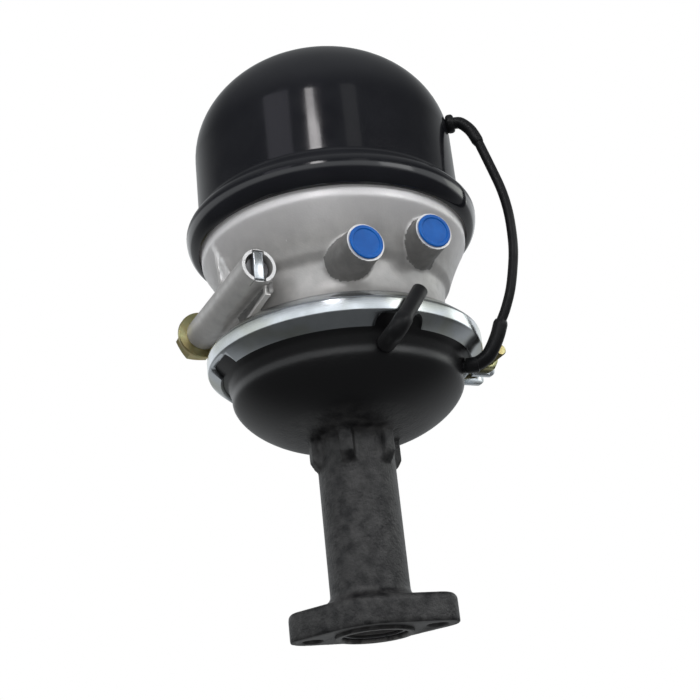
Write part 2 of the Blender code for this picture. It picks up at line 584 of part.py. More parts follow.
def build_flange_housing():
    """Aluminium casting with both chambers' walls, ports, stud pocket and gusset."""
    rim_inner = offset(rim_path(), SHELL + GAP)[FLARE_STEPS + 1:]
    seat = joint_seat()[0]
    profile = [(0.0, BEAD_FLOOR_Z), (rim_inner[0][0], BEAD_FLOOR_Z), *rim_inner]
    profile.append((BELL_RADIUS, rim_inner[-1][1]))
    steps = 5
    for step in range(steps + 1):
        share = 1 - step / steps
        profile.append((WAIST_RADIUS + (BELL_RADIUS - WAIST_RADIUS) * share ** BELL_CURVE,
                        WAIST_Z + (BELL_Z - WAIST_Z) * share))
    fillet_z = CLAMP_Z + seat_slope_z(WAIST_RADIUS + JOINT_FILLET_RUN)
    profile += arc((WAIST_RADIUS + JOINT_FILLET_RUN, WAIST_Z),
                   (JOINT_FILLET_RUN, WAIST_Z - fillet_z), 180, 270, 3)[1:]
    bottom = JOINT_Z + SERVICE_BEAD / 2 + GAP
    profile += [seat, (seat[0], bottom), (0.0, bottom)]
    housing = turned("flange_housing", profile, "cast_aluminium")

    ports = ((SERVICE_PORT_LATERAL, SERVICE_PORT_Z, "service"),
             (SPRING_PORT_LATERAL, SPRING_PORT_Z, "spring"))
    for lateral, height, label in ports:
        combine(housing, rod_along(f"{label}_port_boss", PORT_ROOT, PORT_FACE, PORT_ROOT_RADIUS,
                                   PORT_AZIMUTH, lateral, height, end_radius=PORT_RADIUS,
                                   segments=SMALL_SEGMENTS), "UNION")
    combine(housing, rod_along("stud_pocket", POCKET_REAR, POCKET_FRONT, POCKET_RADIUS,
                               PORT_AZIMUTH, POCKET_LATERAL, POCKET_Z,
                               segments=SMALL_SEGMENTS), "UNION")
    combine(housing, build_gusset(), "UNION")
    combine(housing, build_pocket_web(), "UNION")

    upper = [(0.0, RIM_FLARE_Z), (UPPER_BORE_RADIUS, RIM_FLARE_Z)]
    upper += arc((UPPER_BORE_RADIUS - UPPER_CORNER, UPPER_FLOOR_Z + UPPER_CORNER),
                 (UPPER_CORNER, UPPER_CORNER), 0, -90, 2)
    upper.append((0.0, UPPER_FLOOR_Z))
    combine(housing, turned("upper_chamber", upper), "DIFFERENCE")
    lower = [(0.0, PARTITION_Z - HUB_DROP), (HUB_RADIUS, PARTITION_Z - HUB_DROP),
             (HUB_RADIUS + HUB_DROP, PARTITION_Z), (LOWER_CAVITY_RADIUS - LOWER_CORNER, PARTITION_Z),
             (LOWER_CAVITY_RADIUS, PARTITION_Z - LOWER_CORNER), (LOWER_CAVITY_RADIUS, WAIST_Z),
             (LOWER_BORE_RADIUS, JOINT_Z), (0.0, JOINT_Z)]
    combine(housing, turned("lower_chamber", lower), "DIFFERENCE")
    bush = ADAPTER_RADIUS + GAP + BUSH_WALL
    centre = [(0.0, UPPER_FLOOR_Z + GAP), (bush, UPPER_FLOOR_Z + GAP),
              (bush, PARTITION_Z - HUB_DROP + BUSH_WALL),
              (ADAPTER_RADIUS + GAP, PARTITION_Z - HUB_DROP + BUSH_WALL),
              (ADAPTER_RADIUS + GAP, PARTITION_Z - 2 * HUB_DROP),
              (0.0, PARTITION_Z - 2 * HUB_DROP)]
    combine(housing, turned("centre_bore", centre, segments=SMALL_SEGMENTS), "DIFFERENCE")
    for lateral, height, label in ports:
        combine(housing, rod_along(f"{label}_port_bore", PORT_FACE - PORT_BORE_DEPTH,
                                   PORT_FACE + PORT_BORE_DEPTH, PORT_BORE_RADIUS,
                                   PORT_AZIMUTH, lateral, height), "DIFFERENCE")
    combine(housing, rod_along("service_drilling", PORT_ROOT / 2, PORT_FACE - PORT_BORE_DEPTH / 2,
                               PORT_DRILL_RADIUS, PORT_AZIMUTH, SERVICE_PORT_LATERAL,
                               SERVICE_PORT_Z), "DIFFERENCE")
    drill_end = PORT_ROOT - 2 * PORT_DRILL_RADIUS
    combine(housing, rod_along("spring_drilling", drill_end, PORT_FACE - PORT_BORE_DEPTH / 2,
                               PORT_DRILL_RADIUS, PORT_AZIMUTH, SPRING_PORT_LATERAL,
                               SPRING_PORT_Z), "DIFFERENCE")
    riser = turned("spring_riser", drum(UPPER_FLOOR_Z + GAP, SPRING_PORT_Z - PORT_DRILL_RADIUS / 3,
                                        PORT_DRILL_RADIUS - GAP), segments=BORE_SEGMENTS)
    riser.matrix_world = placed(PORT_AZIMUTH, drill_end + PORT_DRILL_RADIUS, SPRING_PORT_LATERAL, 0.0)
    combine(housing, riser, "DIFFERENCE")
    combine(housing, rod_along("pocket_bore", 2 * POCKET_REAR, 2 * POCKET_FRONT,
                               STUD_RADIUS + GAP, PORT_AZIMUTH, POCKET_LATERAL, POCKET_Z),
            "DIFFERENCE")
    half_width = STUD_HEAD_WIDTH / 2 + GAP
    half_length = STUD_HEAD_LENGTH / 2 + GAP
    combine(housing, block("pocket_slot",
                           (POCKET_FRONT - STUD_HEAD_DEPTH - GAP, POCKET_LATERAL - half_width,
                            POCKET_Z - half_length),
                           (2 * POCKET_FRONT, POCKET_LATERAL + half_width, POCKET_Z + half_length),
                           PORT_AZIMUTH), "DIFFERENCE")
    weld(housing)


def rib_along_pocket(name, outline, thickness, inner_side):
    """Rib in the plane of the stud pocket, from an outline of (along, height) points."""
    matrix = (Matrix.Rotation(PORT_AZIMUTH, 4, "Z") @ Matrix.Translation((0, inner_side, 0))
              @ Matrix.Rotation(math.pi / 2, 4, "X"))
    return prism(name, outline, thickness, matrix)


def build_gusset():
    """Rib that leans back from the top of the stud pocket to the rim of the bell."""
    base = POCKET_Z + POCKET_RADIUS / 2
    knee = POCKET_Z + 1.85 * POCKET_RADIUS
    top = BELL_Z + FILLET
    outline = [(GUSSET_FRONT, base), (GUSSET_FRONT, knee), (GUSSET_TOP_FRONT, top),
               (GUSSET_TOP_REAR, top), (GUSSET_TOP_REAR, top - GUSSET_TIP), (GUSSET_REAR, knee),
               (GUSSET_REAR, base)]
    return rib_along_pocket("pocket_gusset", outline, GUSSET_THICKNESS,
                            POCKET_LATERAL + GUSSET_THICKNESS - FILLET)


def build_pocket_web():
    """Rib that hangs under the stud pocket and runs back to the joint's flange."""
    low = CLAMP_Z + CLAMP_WEB / 2 + CLAMP_LEG_RISE + WEB_CLEARANCE
    front = POCKET_FRONT - FILLET
    outline = [(front, POCKET_Z), (WEB_REAR, POCKET_Z), (WEB_REAR, low), (0.0, low),
               (WEB_FOOT, low + FILLET), (front / 2, low + 1.5 * FILLET), (front, low + 2 * FILLET)]
    return rib_along_pocket("pocket_web", outline, WEB_THICKNESS, POCKET_LATERAL + WEB_THICKNESS)


def build_port_plugs():
    """Blue plugs that keep dirt out of the two ports."""
    ports = ((SERVICE_PORT_LATERAL, SERVICE_PORT_Z, "port_plug_service"),
             (SPRING_PORT_LATERAL, SPRING_PORT_Z, "port_plug_spring"))
    for lateral, height, label in ports:
        plug = turned(label, [(0.0, PORT_FACE + GAP + PORT_PLUG_HEAD),
                              (PORT_PLUG_RADIUS, PORT_FACE + GAP + PORT_PLUG_HEAD),
                              (PORT_PLUG_RADIUS, PORT_FACE + GAP),
                              (PORT_BORE_RADIUS - GAP, PORT_FACE + GAP),
                              (PORT_BORE_RADIUS - GAP, PORT_FACE - PORT_BORE_DEPTH * 0.7),
                              (0.0, PORT_FACE - PORT_BORE_DEPTH * 0.7)],
                      "blue_plastic", BORE_SEGMENTS)
        plug.matrix_world = placed(PORT_AZIMUTH, 0.0, lateral, height) @ \
            Matrix.Rotation(math.pi / 2, 4, "Y")


def hexagon(name, start, end, width, azimuth, lateral, height, bore, look):
    """Hexagon nut square to the axis, with a bore for its bolt."""
    nut = rod_along(name, start, end, width / math.sqrt(3), azimuth, lateral, height,
                    look, segments=6)
    combine(nut, rod_along(name + "_bore", start - GAP, end + GAP, bore,
                           azimuth, lateral, height), "DIFFERENCE")
    return nut


def build_release_stud():
    """Release stud stowed in its pocket, with its washer and nut at the back."""
    stack = POCKET_REAR - GAP - WASHER_THICKNESS - GAP - STUD_NUT_HEIGHT
    stud = rod_along("release_stud", stack - STUD_TAIL, POCKET_FRONT - STUD_HEAD_DEPTH / 2,
                     STUD_RADIUS, PORT_AZIMUTH, POCKET_LATERAL, POCKET_Z, "zinc_plate")
    head = block("stud_head", (POCKET_FRONT - STUD_HEAD_DEPTH, POCKET_LATERAL - STUD_HEAD_WIDTH / 2,
                               POCKET_Z - STUD_HEAD_LENGTH / 2),
                 (POCKET_FRONT, POCKET_LATERAL + STUD_HEAD_WIDTH / 2,
                  POCKET_Z + STUD_HEAD_LENGTH / 2), PORT_AZIMUTH)
    combine(stud, head, "UNION")
    washer = rod_along("release_washer", POCKET_REAR - GAP - WASHER_THICKNESS, POCKET_REAR - GAP,
                       WASHER_RADIUS, PORT_AZIMUTH, POCKET_LATERAL, POCKET_Z, "yellow_zinc",
                       segments=SMALL_SEGMENTS)
    combine(washer, rod_along("washer_bore", 2 * POCKET_REAR, 0.0, STUD_RADIUS + GAP,
                              PORT_AZIMUTH, POCKET_LATERAL, POCKET_Z), "DIFFERENCE")
    hexagon("release_nut", stack, stack + STUD_NUT_HEIGHT, STUD_NUT_WIDTH, PORT_AZIMUTH,
            POCKET_LATERAL, POCKET_Z, STUD_RADIUS + GAP, "yellow_zinc")


def build_clamp():
    """Clamp band of V section with relief notches, its two ears, bolt and nut."""
    outside = clamp_path()
    inside = offset(outside, CLAMP_THICKNESS)
    band = turned("clamp_band", outside + list(reversed(inside)), "zinc_plate")
    ear_start = CLAMP_RADIUS - CLAMP_THICKNESS / 2
    for side in (-1, 1):
        near, far = sorted((side * CLAMP_SPLIT / 2, side * (CLAMP_SPLIT / 2 + EAR_THICKNESS)))
        combine(band, block(f"clamp_ear_{side + 1}", (ear_start, near, CLAMP_Z - EAR_HEIGHT / 2),
                            (EAR_REACH, far, CLAMP_Z + EAR_HEIGHT / 2), CLAMP_BOLT_AZIMUTH), "UNION")
    reach = CLAMP_LEG_RISE + CLAMP_WEB
    combine(band, block("clamp_split", (BOWL_RADIUS, -CLAMP_SPLIT / 2, CLAMP_Z - 2 * reach),
                        (2 * CLAMP_RADIUS, CLAMP_SPLIT / 2, CLAMP_Z + 2 * reach),
                        CLAMP_BOLT_AZIMUTH), "DIFFERENCE")
    low = clamp_path()[3][1]
    for index in range(CLAMP_NOTCHES):
        azimuth = CLAMP_BOLT_AZIMUTH + (index + 1) * 2 * math.pi / (CLAMP_NOTCHES + 1)
        combine(band, block(f"clamp_notch_{index}", (BOWL_RADIUS, -NOTCH_WIDTH / 2, low - reach),
                            (2 * CLAMP_RADIUS, NOTCH_WIDTH / 2, low + NOTCH_DEPTH), azimuth),
                "DIFFERENCE")
    turn = CLAMP_BOLT_AZIMUTH - math.pi / 2
    for side in (-1, 1):
        start, end = sorted((0.0, side * 2 * CLAMP_SPLIT))
        combine(band, rod_along(f"ear_hole_{side + 1}", start, end, CLAMP_BOLT_RADIUS + GAP, turn,
                                CLAMP_BOLT_REACH, CLAMP_Z), "DIFFERENCE")

    ear_face = CLAMP_SPLIT / 2 + EAR_THICKNESS + GAP
    bolt = rod_along("clamp_bolt", -ear_face, CLAMP_BOLT_FRONT, CLAMP_BOLT_RADIUS, turn,
                     CLAMP_BOLT_REACH, CLAMP_Z, "yellow_zinc")
    combine(bolt, rod_along("clamp_bolt_head", -ear_face - CLAMP_BOLT_HEAD, -ear_face,
                            CLAMP_NUT_WIDTH / math.sqrt(3), turn, CLAMP_BOLT_REACH, CLAMP_Z,
                            segments=6), "UNION")
    hexagon("clamp_nut", ear_face, ear_face + CLAMP_NUT_HEIGHT, CLAMP_NUT_WIDTH, turn,
            CLAMP_BOLT_REACH, CLAMP_Z, CLAMP_BOLT_RADIUS + GAP, "yellow_zinc")


def dome_radius_at(height):
    """Outer radius of the dome over its shoulder."""
    share = max(1 - ((height - DOME_SHOULDER_Z) / DOME_RISE) ** 2, 0.0)
    return DOME_RADIUS * math.sqrt(share)


def build_spring_housing():
    """Pressed dome whose rim is rolled round the aluminium housing's flange."""
    hole_angle = math.degrees(math.acos(KEYHOLE_RADIUS / DOME_RADIUS))
    outside = arc((0.0, DOME_SHOULDER_Z), (DOME_RADIUS, DOME_RISE), hole_angle, 0, 7) + rim_path()
    inner_hole = math.degrees(math.acos(KEYHOLE_RADIUS / (DOME_RADIUS - SHELL)))
    inside = arc((0.0, DOME_SHOULDER_Z), (DOME_RADIUS - SHELL, DOME_RISE - SHELL),
                 inner_hole, 0, 4) + offset(rim_path(), SHELL)
    housing = turned("spring_housing", outside + list(reversed(inside)), "dome_enamel")
    combine(housing, rod_along("dome_elbow_hole", DOME_RADIUS / 2, 2 * DOME_RADIUS,
                               ELBOW_RADIUS + HOLE_CLEARANCE, 0.0, 0.0, DOME_ELBOW_Z), "DIFFERENCE")
    crown = DOME_SHOULDER_Z + DOME_RISE * math.sin(math.radians(hole_angle))
    turned("dust_plug", [(0.0, crown + DUST_PLUG_HEAD), (DUST_PLUG_RADIUS * 0.8, crown + DUST_PLUG_HEAD),
                         (DUST_PLUG_RADIUS, crown + GAP), (KEYHOLE_RADIUS - GAP, crown + GAP),
                         (KEYHOLE_RADIUS - GAP, crown - 2 * SHELL), (0.0, crown - 2 * SHELL)],
           "black_rubber", SMALL_SEGMENTS)


def build_spring_stage():
    """Spring diaphragm with its bead, the plates over and under it, and the adapter."""
    rim_inner = offset(rim_path(), SHELL + GAP)
    flare = rim_inner[1:FLARE_STEPS + 1]
    bead_edge = rim_inner[FLARE_STEPS + 1][0]
    wall = UPPER_BORE_RADIUS - GAP
    floor = UPPER_FLOOR_Z + GAP + PLATE + GAP
    profile = [(0.0, floor + MEMBRANE), (wall - MEMBRANE - UPPER_CORNER, floor + MEMBRANE),
               (wall - MEMBRANE, floor + UPPER_CORNER), (wall - MEMBRANE, BEAD_FLOOR_Z + GAP),
               (SPRING_BEAD_INNER, flare[0][1]), *flare, (bead_edge, BEAD_FLOOR_Z + GAP),
               (wall, BEAD_FLOOR_Z + GAP), (wall, floor + UPPER_CORNER), (wall - UPPER_CORNER, floor),
               (0.0, floor)]
    turned("spring_diaphragm", profile, "black_rubber")

    plate_low = floor + MEMBRANE + GAP
    turned("pressure_plate",
           [(0.0, plate_low + PLATE), (KEYHOLE_RADIUS, plate_low + PLATE),
            (KEYHOLE_RADIUS + CROWN_SLOPE, plate_low + PLATE + CROWN_RISE),
            (KEYHOLE_RADIUS + 3 * CROWN_SLOPE, plate_low + PLATE + CROWN_RISE),
            (KEYHOLE_RADIUS + 5 * CROWN_SLOPE, plate_low + PLATE),
            (PRESSURE_PLATE_RADIUS - PLATE, plate_low + PLATE),
            (PRESSURE_PLATE_RADIUS - PLATE, plate_low + PRESSURE_PLATE_RIM),
            (PRESSURE_PLATE_RADIUS, plate_low + PRESSURE_PLATE_RIM),
            (PRESSURE_PLATE_RADIUS, plate_low), (0.0, plate_low)], "turned_steel")

    foot_top = ADAPTER_FOOT_Z + ADAPTER_FOOT
    top = UPPER_FLOOR_Z + GAP + PLATE
    turned("adapter_rod",
           [(0.0, top), (ADAPTER_PLATE_RADIUS, top), (ADAPTER_PLATE_RADIUS, top - PLATE),
            (ADAPTER_RADIUS, top - PLATE), (ADAPTER_RADIUS, foot_top + GAP),
            (ROD_SPIGOT_RADIUS, foot_top + GAP), (ROD_SPIGOT_RADIUS, foot_top - ADAPTER_FOOT / 2),
            (0.0, foot_top - ADAPTER_FOOT / 2)], "turned_steel", SMALL_SEGMENTS)
    turned("adapter_foot",
           [(0.0, foot_top - ADAPTER_FOOT / 2 - GAP), (ROD_SPIGOT_RADIUS + GAP,
                                                      foot_top - ADAPTER_FOOT / 2 - GAP),
            (ROD_SPIGOT_RADIUS + GAP, foot_top), (ADAPTER_FOOT_RADIUS - EDGE_ROUND, foot_top),
            (ADAPTER_FOOT_RADIUS, foot_top - EDGE_ROUND), (ADAPTER_FOOT_RADIUS, ADAPTER_FOOT_Z),
            (0.0, ADAPTER_FOOT_Z)], "guide_plastic", SMALL_SEGMENTS)

    bush = ADAPTER_RADIUS + GAP + BUSH_WALL
    bush_low = PARTITION_Z - HUB_DROP + BUSH_WALL + GAP
    turned("centre_bush", sleeve(UPPER_FLOOR_Z - GAP, bush_low, bush - GAP, ADAPTER_RADIUS + GAP),
           "guide_plastic", SMALL_SEGMENTS)


def coil_points(base_z, top_z, base_radius, top_radius, turns):
    """Points along a tapering coil about the axis."""
    count = int(turns * COIL_STEPS)
    points = []
    for index in range(count + 1):
        share = index / count
        angle = share * turns * 2 * math.pi
        radius = base_radius + (top_radius - base_radius) * share
        points.append((radius * math.cos(angle), radius * math.sin(angle),
                       base_z + (top_z - base_z) * share))
    return points


def wire(name, points, radius, look):
    """Round wire or tube along points, as a closed mesh with welded caps."""
    curve = bpy.data.curves.new(name + "_path", "CURVE")
    curve.dimensions = "3D"
    curve.bevel_depth = radius
    curve.bevel_resolution = 2
    curve.use_fill_caps = True
    spline = curve.splines.new("POLY")
    spline.points.add(len(points) - 1)
    for point, place in zip(spline.points, points):
        point.co = (*place, 1.0)
    carrier = bpy.data.objects.new(name + "_path", curve)
    PART.objects.link(carrier)
    bpy.context.view_layer.update()
    evaluated = carrier.evaluated_get(bpy.context.evaluated_depsgraph_get())
    mesh = bpy.data.meshes.new_from_object(evaluated)
    bpy.data.objects.remove(carrier)
    bm = bmesh.new()
    bm.from_mesh(mesh)
    bmesh.ops.remove_doubles(bm, verts=bm.verts, dist=WELD_DISTANCE)
    bmesh.ops.recalc_face_normals(bm, faces=bm.faces)
    return add_object(name, bm, look)


def build_springs():
    """Power spring over the pressure plate, and the flat return spring in the bowl."""
    plate_top = UPPER_FLOOR_Z + 2 * PLATE + 3 * GAP + MEMBRANE
    base = plate_top + GAP + POWER_SPRING_WIRE
    reach = POWER_SPRING_TOP + POWER_SPRING_WIRE
    share = math.sqrt(1 - (reach / (DOME_RADIUS - SHELL)) ** 2)
    top = DOME_SHOULDER_Z + (DOME_RISE - SHELL) * share - POWER_SPRING_WIRE - 2 * GAP
    wire("power_spring", coil_points(base, top, POWER_SPRING_BASE, POWER_SPRING_TOP,
                                     POWER_SPRING_TURNS), POWER_SPRING_WIRE, "spring_steel")
    low = NECK_LENGTH + BOWL_FLOOR + GAP + RETURN_SPRING_WIRE
    high = PUSH_PLATE_Z - GAP - RETURN_SPRING_WIRE
    wire("return_spring", coil_points(low, high, RETURN_SPRING_BASE, RETURN_SPRING_TOP,
                                      RETURN_SPRING_TURNS), RETURN_SPRING_WIRE, "spring_steel")


def build_service_stage():
    """Service diaphragm, and the plate and rod that it drives."""
    bead_low = JOINT_Z - SERVICE_BEAD / 2
    bead_top = JOINT_Z + SERVICE_BEAD / 2
    edge = joint_seat()[0][0] - GAP
    wall = BOWL_RADIUS - BOWL_WALL - 2 * GAP
    inner = wall - MEMBRANE
    flat = PUSH_PLATE_RADIUS + EDGE_ROUND
    low = PUSH_PLATE_Z + PUSH_PLATE + GAP
    turned("service_diaphragm",
           [(0.0, low + MEMBRANE), (flat, low + MEMBRANE), (inner - EDGE_ROUND, BOWL_SHOULDER_Z),
            (inner, BOWL_SHOULDER_Z + 2 * EDGE_ROUND), (inner, bead_top - EDGE_ROUND),
            (inner + EDGE_ROUND, bead_top), (edge, bead_top), (edge, bead_low), (wall, bead_low),
            (wall, BOWL_SHOULDER_Z + EDGE_ROUND),
            (wall - PUSH_PLATE_EDGE, BOWL_SHOULDER_Z - PUSH_PLATE_EDGE),
            (flat + MEMBRANE / 3, low), (0.0, low)],
           "black_rubber")
    plate_top = PUSH_PLATE_Z + PUSH_PLATE
    turned("push_plate",
           [(ROD_SPIGOT_RADIUS + GAP, plate_top), (PUSH_PLATE_RADIUS - PUSH_PLATE_EDGE, plate_top),
            (PUSH_PLATE_RADIUS, plate_top - PUSH_PLATE_EDGE),
            (PUSH_PLATE_RADIUS, PUSH_PLATE_Z + PUSH_PLATE_EDGE * 0.75),
            (RETURN_SPRING_BASE + 3 * RETURN_SPRING_WIRE, PUSH_PLATE_Z),
            (ROD_SPIGOT_RADIUS + GAP, PUSH_PLATE_Z)],
           "turned_steel", SEGMENTS)
    head_top = ROD_END_Z + ROD_HEAD
    groove = head_top - ROD_HEAD / 3
    head = SLEEVE_RADIUS - 3 * GAP
    turned("push_rod",
           [(0.0, plate_top - GAP), (ROD_SPIGOT_RADIUS, plate_top - GAP),
            (ROD_SPIGOT_RADIUS, PUSH_PLATE_Z - GAP), (ROD_RADIUS, PUSH_PLATE_Z - GAP),
            (ROD_RADIUS, head_top + EDGE_ROUND), (head, head_top),
            (head, groove + GUIDE_RING / 2 + GAP),
            (GUIDE_GROOVE_RADIUS, groove + GUIDE_RING / 2 + GAP),
            (GUIDE_GROOVE_RADIUS, groove - GUIDE_RING / 2 - GAP),
            (head, groove - GUIDE_RING / 2 - GAP), (head, ROD_END_Z + ROD_CHAMFER),
            (head - ROD_CHAMFER, ROD_END_Z), (0.0, ROD_END_Z)],
           "turned_steel", SMALL_SEGMENTS)
    turned("rod_guide_ring", sleeve(groove + GUIDE_RING / 2, groove - GUIDE_RING / 2,
                                    SLEEVE_RADIUS - GAP, GUIDE_GROOVE_RADIUS + GAP),
           "guide_plastic", SMALL_SEGMENTS)


def smooth_route(knots, per_span):
    """Points along one smooth curve through the knots (Catmull-Rom)."""
    ends = [knots[0] * 2 - knots[1], *knots, knots[-1] * 2 - knots[-2]]
    points = []
    for before, start, end, after in zip(ends, ends[1:], ends[2:], ends[3:]):
        for step in range(per_span):
            t = step / per_span
            points.append(0.5 * (2 * start + (end - before) * t
                                 + (2 * before - 5 * start + 4 * end - after) * t * t
                                 + (3 * start - before - 3 * end + after) * t * t * t))
    points.append(knots[-1])
    return points


def hose_curve(pairs, wall, height):
    """Points of the plane through the axis and X, measured from a wall and a height."""
    return [Vector((wall + out, 0.0, height + rise)) for out, rise in pairs]


def collar(obj, name, start, thickness, azimuth, height, radius):
    """Add the collar that stops an elbow on a housing's wall."""
    combine(obj, rod_along(name, start, start + thickness, radius, azimuth, 0.0, height), "UNION")


def build_breather():
    """Breather hose between the dome and the bowl, with the rubber elbow at each end."""
    stub = hose_curve([(-3 * SHELL, 0.0), (0.0, 0.0), (ELBOW_RUN, 0.0)],
                      dome_radius_at(DOME_ELBOW_Z), DOME_ELBOW_Z)
    upper = stub + hose_curve(DOME_ELBOW_CURVE, DOME_RADIUS, DOME_ELBOW_Z)
    elbow = wire("elbow_dome", smooth_route(upper, SPAN_STEPS), ELBOW_RADIUS, "black_rubber")
    collar(elbow, "dome_collar", DOME_RADIUS + GAP, ELBOW_COLLAR, 0.0, DOME_ELBOW_Z,
           ELBOW_COLLAR_RADIUS)
    stub = hose_curve([(GAP - BOWL_WALL, 0.0), (0.0, 0.0)], BOWL_RADIUS, BOWL_ELBOW_Z)
    body = hose_curve([(BOWL_COLLAR_LENGTH, 0.0), *BOWL_ELBOW_CURVE], BOWL_RADIUS, BOWL_ELBOW_Z)
    foot = wire("elbow_bowl", smooth_route(stub + body, SPAN_STEPS), ELBOW_RADIUS, "black_rubber")
    thick = wire("elbow_bowl_body", smooth_route(body, SPAN_STEPS), FOOT_RADIUS, None)
    combine(foot, thick, "UNION")
    collar(foot, "bowl_collar", BOWL_RADIUS + BOWL_COLLAR_STAND, BOWL_COLLAR_LENGTH, 0.0,
           BOWL_ELBOW_Z, BOWL_COLLAR_RADIUS)
    hose = (hose_curve(HOSE_UPPER_CURVE, DOME_RADIUS, DOME_ELBOW_Z)
            + hose_curve(HOSE_LOWER_CURVE, BOWL_RADIUS, BOWL_ELBOW_Z))
    wire("breather_hose", smooth_route(hose, SPAN_STEPS), HOSE_RADIUS, "black_rubber")


def build_vent():
    """Rubber vent elbow on the front of the bowl, open at its slanting end."""
    along = Vector((math.cos(VENT_AZIMUTH), math.sin(VENT_AZIMUTH), 0.0))
    start = along * (BOWL_RADIUS - BOWL_WALL + GAP) + Vector((0, 0, VENT_Z))
    bend = along * VENT_REACH + Vector((0, 0, VENT_Z))
    tip = Vector((VENT_REACH * math.cos(VENT_TIP_AZIMUTH), VENT_REACH * math.sin(VENT_TIP_AZIMUTH),
                  VENT_TIP_Z))
    direction = (tip - bend).normalized()
    spigot = wire("vent_elbow", [start, bend - along * VENT_RADIUS, bend + direction * VENT_RADIUS, tip],
                  ELBOW_RADIUS, "black_rubber")
    knee = wire("vent_knee", [along * (BOWL_RADIUS + VENT_COLLAR_STAND) + Vector((0, 0, VENT_Z)),
                              bend, bend + direction * 2 * VENT_RADIUS], VENT_BODY_RADIUS, None)
    barrel = wire("vent_barrel", [bend + direction * VENT_RADIUS, tip], VENT_RADIUS, None)
    bore = wire("vent_bore", [bend + direction * 2 * VENT_RADIUS, tip + direction * VENT_RADIUS],
                VENT_BORE_RADIUS, None)
    for helper, operation in ((knee, "UNION"), (barrel, "UNION"), (bore, "DIFFERENCE")):
        combine(spigot, helper, operation)
    weld(spigot)


def main():
    """Clear the scene and build every piece."""
    for obj in list(bpy.data.objects):
        bpy.data.objects.remove(obj)
    for collection in (PART, CUTTERS):
        bpy.context.scene.collection.children.link(collection)
    build_bowl_housing()
    build_neck_fittings()
    build_flange_housing()
    build_port_plugs()
    build_release_stud()
    build_clamp()
    build_spring_housing()
    build_spring_stage()
    build_springs()
    build_service_stage()
    build_breather()
    build_vent()


main()
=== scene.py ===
"""Spring brake chamber: the fine surfaces, finishes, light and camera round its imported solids.

Metres, +Z up, in the solids' own frame: the origin is the centre of the mounting face and
X runs through the two bolt holes. Each sub-assembly is a class that builds its own pieces.
"""
import logging
from dataclasses import dataclass, field, replace
from enum import Enum
from math import (acos, asin, ceil, cos, degrees, hypot, isclose, pi, radians, sin, sqrt, tan,
                  tau)
from typing import Callable, Iterable, Mapping, Sequence

import bmesh
import bpy
from bmesh.types import BMEdge, BMesh, BMVert
from bpy.types import Material, Node, NodeSocket, NodeTree, Object
from mathutils import Matrix, Vector


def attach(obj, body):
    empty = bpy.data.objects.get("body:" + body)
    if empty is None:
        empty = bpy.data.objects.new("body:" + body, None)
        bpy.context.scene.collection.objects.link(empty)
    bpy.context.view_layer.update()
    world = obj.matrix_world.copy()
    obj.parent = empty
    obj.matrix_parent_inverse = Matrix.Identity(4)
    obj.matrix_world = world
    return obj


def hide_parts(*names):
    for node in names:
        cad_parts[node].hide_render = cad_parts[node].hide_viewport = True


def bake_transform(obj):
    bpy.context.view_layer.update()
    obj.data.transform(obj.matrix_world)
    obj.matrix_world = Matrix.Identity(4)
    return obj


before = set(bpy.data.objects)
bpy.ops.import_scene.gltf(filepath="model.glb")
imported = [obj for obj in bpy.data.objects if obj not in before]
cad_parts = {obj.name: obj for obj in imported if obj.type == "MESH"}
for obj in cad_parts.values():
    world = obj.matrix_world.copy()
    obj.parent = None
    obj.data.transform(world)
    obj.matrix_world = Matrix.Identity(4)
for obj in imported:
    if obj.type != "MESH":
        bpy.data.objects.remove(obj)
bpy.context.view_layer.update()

log = logging.getLogger("brake_chamber")

Triple = tuple[float, float, float]
Colour = Triple
Feed = float | Colour | NodeSocket
Profile = Sequence[Sequence[float]]
FaceTest = Callable[[Vector, Vector], bool]

WELD = 0.00001
GAP = 0.0003
FINE_STEPS = 128
ROUND_STEPS = 64
SMALL_STEPS = 32
WHITE = (1.0, 1.0, 1.0)
ANYWHERE = (-1.0, 1.0)
Z_TO_X = Matrix.Rotation(pi / 2, 4, "Y")
X_TO_Z = Matrix.Rotation(-pi / 2, 4, "Y")
Y_TO_Z = Matrix.Rotation(pi / 2, 4, "X")


class Body(Enum):
    """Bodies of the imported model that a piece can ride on."""

    HOUSING = "housing"
    SPRING_STAGE = "spring_stage"
    SERVICE_STAGE = "service_stage"


class Slot(Enum):
    """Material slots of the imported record."""

    DOME = "dome_enamel"
    ALUMINIUM = "cast_aluminium"
    BLACK_CASTING = "cast_black"
    ZINC = "zinc_plate"
    YELLOW_ZINC = "yellow_zinc"
    SPRING = "spring_steel"
    TURNED = "turned_steel"
    RUBBER = "black_rubber"
    BLUE = "blue_plastic"
    GUIDE = "guide_plastic"


class Cut(Enum):
    """Ways to combine a piece with a tool."""

    REMOVE = "DIFFERENCE"
    JOIN = "UNION"
    KEEP_COMMON = "INTERSECT"


# ---- Nodes and finishes ----

def feed(tree: NodeTree, socket: NodeSocket, value: Feed) -> None:
    """Link a socket to the output that feeds it, or give it a constant."""
    if isinstance(value, NodeSocket):
        tree.links.new(value, socket)
    elif isinstance(value, tuple) and socket.type == "RGBA":
        socket.default_value = (*value, 1.0)
    else:
        socket.default_value = value


def add_node(tree: NodeTree, kind: str, feeds: Mapping[str | int, Feed], **settings: str) -> Node:
    """Add a node to the tree of a material or of the world.

    Args:
        tree: The tree.
        kind: The node's type, without its leading ShaderNode.
        feeds: What each input gets: a constant, or the output that feeds it.
        settings: The node's own properties.

    Returns:
        The node.
    """
    node = tree.nodes.new("ShaderNode" + kind)
    for name, setting in settings.items():
        setattr(node, name, setting)
    for key, value in feeds.items():
        feed(tree, node.inputs[key], value)
    return node


